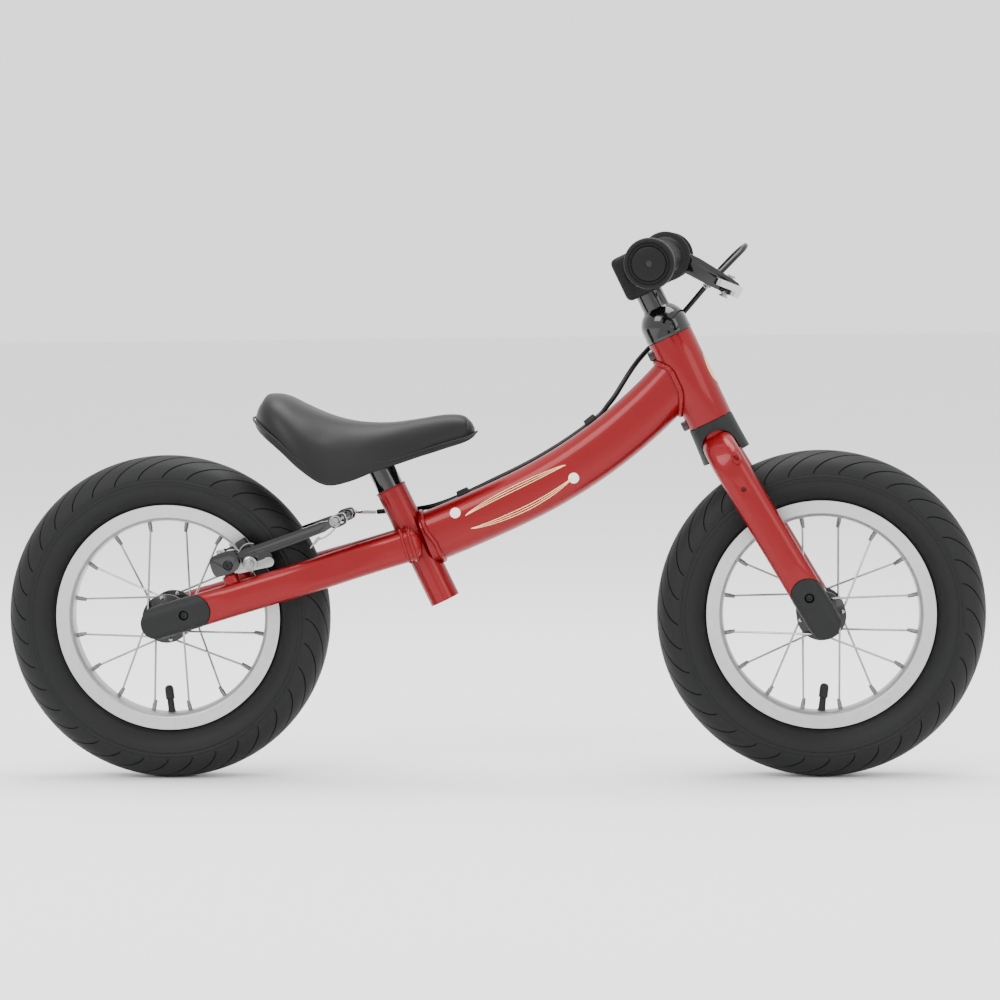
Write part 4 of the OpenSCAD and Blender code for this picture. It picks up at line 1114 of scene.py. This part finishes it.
body = moved(plate(softened([(-13, -9), (-6, -10.5), (8, -10.5), (14, -6), (14, 8), (8, 10.5), (-9, 10.5),
        (-13, 6)], 2), 29, 47), turn(90, "X"))
bar = moved(plate(softened([(8, -4.5), (60, -4.5), (110, -3.0), (110, 6.5), (60, 6.2), (8, 6.5)], 1), 32,
        38), turn(90, "X"))
lug = moved(plate(stadium(21, 37, 6.9, 16), 34, 39), at(0, 0, -7.6) @ turn(90, "X"))
tipLug = moved(plate(softened([(104, -3.5), (119, -3.5), (121, 0), (121, 6), (118, 8.5), (104, 8.5)], 2), 31,
        39), turn(90, "X"))
arm = carved(carved(carved(body, bar, "UNION"), lug, "UNION"), tipLug, "UNION")
arm = carved(arm, moved(rod(4.02, -40, 40, 40), at(0, -38, 0)))
arm = drilled(drilled(arm, 22, -8.2, 3.1), 115.6, 3, 4.2)
arm = carved(arm, moved(rod(4.6, 44.2, 60, 36), at(3, 0, -2.5) @ turn(90, "X")))
arm = carved(arm, armSlot(30, 92, 1, 1.6, 36.6, 50))
armPair(bevelled(arm, 0.55, 2, 40), "brakeArm", "gloss_black", "brake_arm")
screwHead = spun([(0, 44.3), (4.0, 44.3), (4.3, 44.8), (4.3, 47.0), (3.6, 47.8), (1.9, 47.8), (1.7, 46.2),
        (0, 46.1)], 36)
armPair(moved(screwHead, at(3, 0, -2.5) @ turn(90, "X")), "armScrew", "satin_black_metal")
carrier = moved(plate(stadium(11, 40, 4.6, 16), 39.4, 41.6), at(0, 0, -7.6) @ turn(7, "Y") @ turn(90, "X"))
carrier = drilled(carrier, 22, -8.2, 3.1)
carrier = carved(carrier, armSlot(28, 36, -6.6, 1.7, 36, 50))
armPair(bevelled(carrier, 0.4, 2, 40), "padCarrier", "bright_steel")
washers = spun([(3.0, 41.8), (6.6, 41.8), (6.9, 42.1), (6.9, 42.7), (6.0, 43.1), (5.9, 44.2), (5.2, 44.6),
        (3.0, 44.6)], 48)
nut = bevelled(spun([(0, 44.7), (5.0, 44.7), (5.0, 48.0), (4.2, 48.9), (2.6, 48.9), (2.5, 50.0), (2.0, 50.4),
        (0, 50.4)], 6), 0.2, 1, 20)
armPair(moved(joined(washers, nut), at(22, 0, -8.2) @ turn(90, "X")), "padBolt", "bright_steel")
padBlock = roundedBox(10.4, 9.0, 48, 1.6, 3)
for z in (-15, 0, 15):
    padBlock = carved(padBlock, moved(roundedBox(12, 2.2, 1.8, 0.2, 1), at(0, 4.6, z)))
padBlock = moved(padBlock, at(22, 0, -8.2) @ turn(-armSizes["padTurn"], "Y") @ at(0.2, -19.4, 0))
padStud = moved(rod(3, 23.5, 41, 32), at(22, 0, -8.2) @ turn(90, "X"))
armPair(joined(padBlock, padStud), "brakePad", "brake_pad_rubber", "brake_pads")
spring = [(9.2 * math.cos(a) - 1, -30.5 - 1.5 * i / 30, 9.2 * math.sin(a)) for i,
        a in enumerate([math.radians(20 + 9 * k) for k in range(31)])]
spring += [(4, -27.8, -11), (10, -27.2, -3), (14, -27, 5), (20, -27, 9.5), (27, -28.5, 9.2), (30, -30.5, 7.5)]
armPair(cordPiece(spring, 0.85, 3, samples=2), "armSpring", "bright_steel")
pivotCap = spun([(0, 9.9), (4.6, 9.9), (5.0, 10.3), (5.0, 12.6), (4.4, 13.2), (2.6, 13.2), (2.4, 11.6),
        (0, 11.6)], 36)
armPair(moved(pivotCap, at(0, -38, 0)), "armPivotBolt", "bright_steel")
anchor = spun([(0, 39.2), (5.2, 39.2), (5.4, 39.6), (5.4, 41.0), (4.0, 41.4), (4.0, 43.2), (3.4, 44.0),
        (1.9, 44.0), (1.8, 42.6), (0, 42.6)], 36)
finished(moved(anchor, at(111, 0, 3) @ turn(90, "X")), "wireAnchorBolt", "right_brake_arm", "bright_steel",
        armPlace)
noodleLine = [(-104.4, 48, 247), (-114.4, 48, 247), (-124, 48, 247)]
noodleLine += [(-124 - 15 * math.sin(a), 33 + 15 * math.cos(a), 247)
        for a in (math.radians(9 * k) for k in range(1, 11))] + [(-139, 22, 247)]
noodle = cordPiece(noodleLine[1:], 2.25, 5, samples=1)
finished(noodle, "brakeNoodle", "left_brake_arm", "chrome", replaces=["brake_noodle"])
clampPlace = at(-139, 23.2, 247) @ turn(90, "X")
clampHead = spun([(1.2, -4), (4.6, -4), (5.0, -3.4), (5.0, 3.2), (4.4, 4.0), (1.2, 4.0)], 32)
finished(clampHead, "noodleStop", "left_brake_arm", "gloss_black", clampPlace)
boot = spun([(1.3, 0)] + [(3.3 + 0.7 * (k % 2) - 0.09 * k, 1.6 * k) for k in range(1, 15)] + [(1.3, 24)], 32)
finished(moved(bevelled(boot, 0.3, 2, 20), at(0, 0, 5)), "wireBoot", "left_brake_arm", "cable_sheath",
        clampPlace)
wire = cordPiece([tuple(1000 * c for c in p) for p in cable["wire"]], 0.75, 3, samples=1)
tail = cordPiece([(-139, -33.5, 247)] + [tuple(1000 * c for c in p) for p in cable["tail"]], 0.75, 3)
crimp = moved(spun([(0, -4), (1.3, -4), (1.4, -3), (1.4, 3), (1.0, 4), (0, 4)], 16),
        along(*[tuple(1000 * c for c in p) for p in cable["tail"][-2:]]))
finished(joined(wire, tail), "brakeWire", "right_brake_arm", "bright_steel", replaces=["brake_wire"])
finished(crimp, "wireCrimp", "right_brake_arm", "bright_steel")
print("brake made")

# cable, its ferrule, its clips and the head tube guides
for stretch, near, far in (("frame", "frame", None), ("front", "fork", "frame"),
        ("rear", "left_brake_arm", "frame")):
    points = [tuple(1000 * c for c in p) for p in cable[stretch]]
    run = finished(cordPiece(points, 1000 * cable["radius"], 5, samples=5), "brakeCable" + stretch.title(),
            None if far else near, "cable_sheath",
                   replaces=["brake_cable_" + stretch])
    if far:  # its two ends keep to different bodies
        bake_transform(run)
ferruleAt = [tuple(1000 * c for c in p) for p in cable["front"][:2]]
ferrule = spun([(2.55, -1), (3.1, -1), (3.3, -0.5), (3.3, 6.5), (2.9, 7.2), (2.55, 7.2)], 32)
finished(moved(ferrule, along(*ferruleAt)), "cableFerrule", "fork", "bright_steel")
clips = {"frontCableClip": (94, 333.25, 38, (12, 9.2, 6.4)), "rearCableClip": (-27, 266, 24, (12, 9.2, 6.4))}
for name, (x, z, tilt, size) in clips.items():
    clip = moved(roundedBox(*size, 1.2, 3), at(0, 0, 0.9))
    clip = carved(clip, moved(rod(2.8, -20, 20, 32), turn(90, "Y")))
    place = at(x, 13, z) @ turn(-tilt, "Y") @ turn(-24, "X")
    finished(clip, name, "frame", "matte_plastic", place, replaces=["cable_clips"]
            if name == "frontCableClip" else ())
for name, a in (("lowerHeadGuide", 6), ("upperHeadGuide", 78)):
    guide = moved(roundedBox(8.4, 8, 9, 1.6, 3), at(-22, 0, a - 0.5))
    guide = carved(guide, rod(21.55, -5, 95, 96))
    finished(guide, name, "frame", "gloss_black", headPlace)
print("cable made")

# axle nuts and other bare metal
for end, body in (("rear", "frame"), ("front", "fork")):
    parts = []
    for side in (1, -1):
        washer = spun([(5.2, 41.0), (9.2, 41.0), (9.5, 41.3), (9.5, 42.3), (9.1, 42.6), (5.2, 42.6)], 40)
        hexNut = bevelled(spun([(5.1, 42.7), (8.0, 42.7), (8.4, 43.1), (8.4, 47.4), (7.9, 48.0),
                (5.1, 48.0)], 6), 0.25, 2, 20)
        parts += [moved(o, turn(90 * side, "X")) for o in (washer, hexNut)]
    wheelAxis = at(-307 if end == "rear" else 307, 0, 153)
    finished(joined(*parts), end + "AxleNuts", body, "bright_steel", wheelAxis, replaces=[end + "_axle_nuts"])
print("nuts made")

# printed lines and badge
stripeSizes = {"from": 44, "to": 150, "rows": [-21, -14, -7, 7, 14, 21], "thick": 0.32,
        "dots": [(-32.7, 250.6), (77.3, 283.2)]}


def stripeLine(side, middle):  # nested spindle lines along the flank
    points = []
    for k in range(41):
        s = stripeSizes["from"] + (stripeSizes["to"] - stripeSizes["from"]) * k / 40
        angle = middle * math.sin(math.pi * k / 40) ** 0.7
        points.append(mainPoint(s, math.radians(angle if side == 1 else 180 - angle), 0.12))
    return points


ribbons = []
for side in (1, -1):
    for middle in stripeSizes["rows"]:
        ribbons.append(cordPiece(stripeLine(side, middle), stripeSizes["thick"], 1, samples=2))
finished(joined(*ribbons), "mainTubeStripes", "frame", "red_paint", material=gold)
rings = []
for x, z in stripeSizes["dots"]:
    spots = [(math.hypot(p.x - x, p.z - z), s, a) for s in range(10, 200, 2) for a in range(-60, 61, 4)
            for p in [mainPoint(s, math.radians(a))]]
    _, s, a = min(spots)
    for mirror in (a, 180 - a):
        foot, out = mainPoint(s, math.radians(mirror), -0.1), mainPoint(s, math.radians(mirror), 1.0)
        button = spun([(0, -0.4), (5.0, -0.4), (5.0, 0.25), (4.6, 0.4), (0, 0.4)], 40)
        rings.append(moved(button, along(foot, out)))
finished(joined(*rings), "mainTubeButtons", "frame", "red_paint", material=pearl)
badge = moved(plate([(9.5 * math.cos(a), 16 * math.sin(a))
        for a in (math.radians(9 * k) for k in range(40))], 18, 25), turn(90, "Y") @ turn(90, "Z"))
shellCut = rod(21.45, -30, 30, 96)
badge = carved(badge, shellCut)
outer = spun([(22.0, -30), (40, -30), (40, 30), (22.0, 30)], 96)
badge = carved(badge, outer)
finished(moved(bevelled(badge, 0.15, 2), at(0, 0, 44)), "headBadge", "frame", "red_paint", headPlace,
        material=gold)
print("prints made")

# floor and light
clearSelection()
bpy.ops.mesh.primitive_plane_add(size=30, location=(0, 0, 0))
floor = bpy.context.object
floor.name = "floor"
floorFinish = Finish("paleFloor", Roughness=0.9, Specular_IOR_Level=0.1)
floorFinish.put("Base Color", floorFinish.blendColour(floorFinish.noise(0.8), (0.90, 0.90, 0.90),
        (0.93, 0.93, 0.93)))
floor.data.materials.append(floorFinish.material)
world = bpy.data.worlds.new("studio")
world.use_nodes = True
world.node_tree.nodes["Background"].inputs["Color"].default_value = (1, 1, 1, 1)
world.node_tree.nodes["Background"].inputs["Strength"].default_value = 1.7
bpy.context.scene.world = world
softboxes = {"key": ((-1.4, -1.9, 2.1), (1.6, 1.2), 42), "fill": ((1.9, -1.7, 1.2), (1.3, 1.3), 14),
        "top": ((0.1, 0.2, 2.2), (2.0, 1.2), 60)}
for name, (spot, size, power) in softboxes.items():
    bpy.ops.object.light_add(type="AREA", location=spot)
    lamp = bpy.context.object
    lamp.name = name
    lamp.data.shape = "RECTANGLE"
    lamp.data.size, lamp.data.size_y, lamp.data.energy = size[0], size[1], power
    lamp.rotation_euler = (Vector((0, 0, 0.25)) - lamp.location).to_track_quat("-Z", "Y").to_euler()

print("floor and light made")
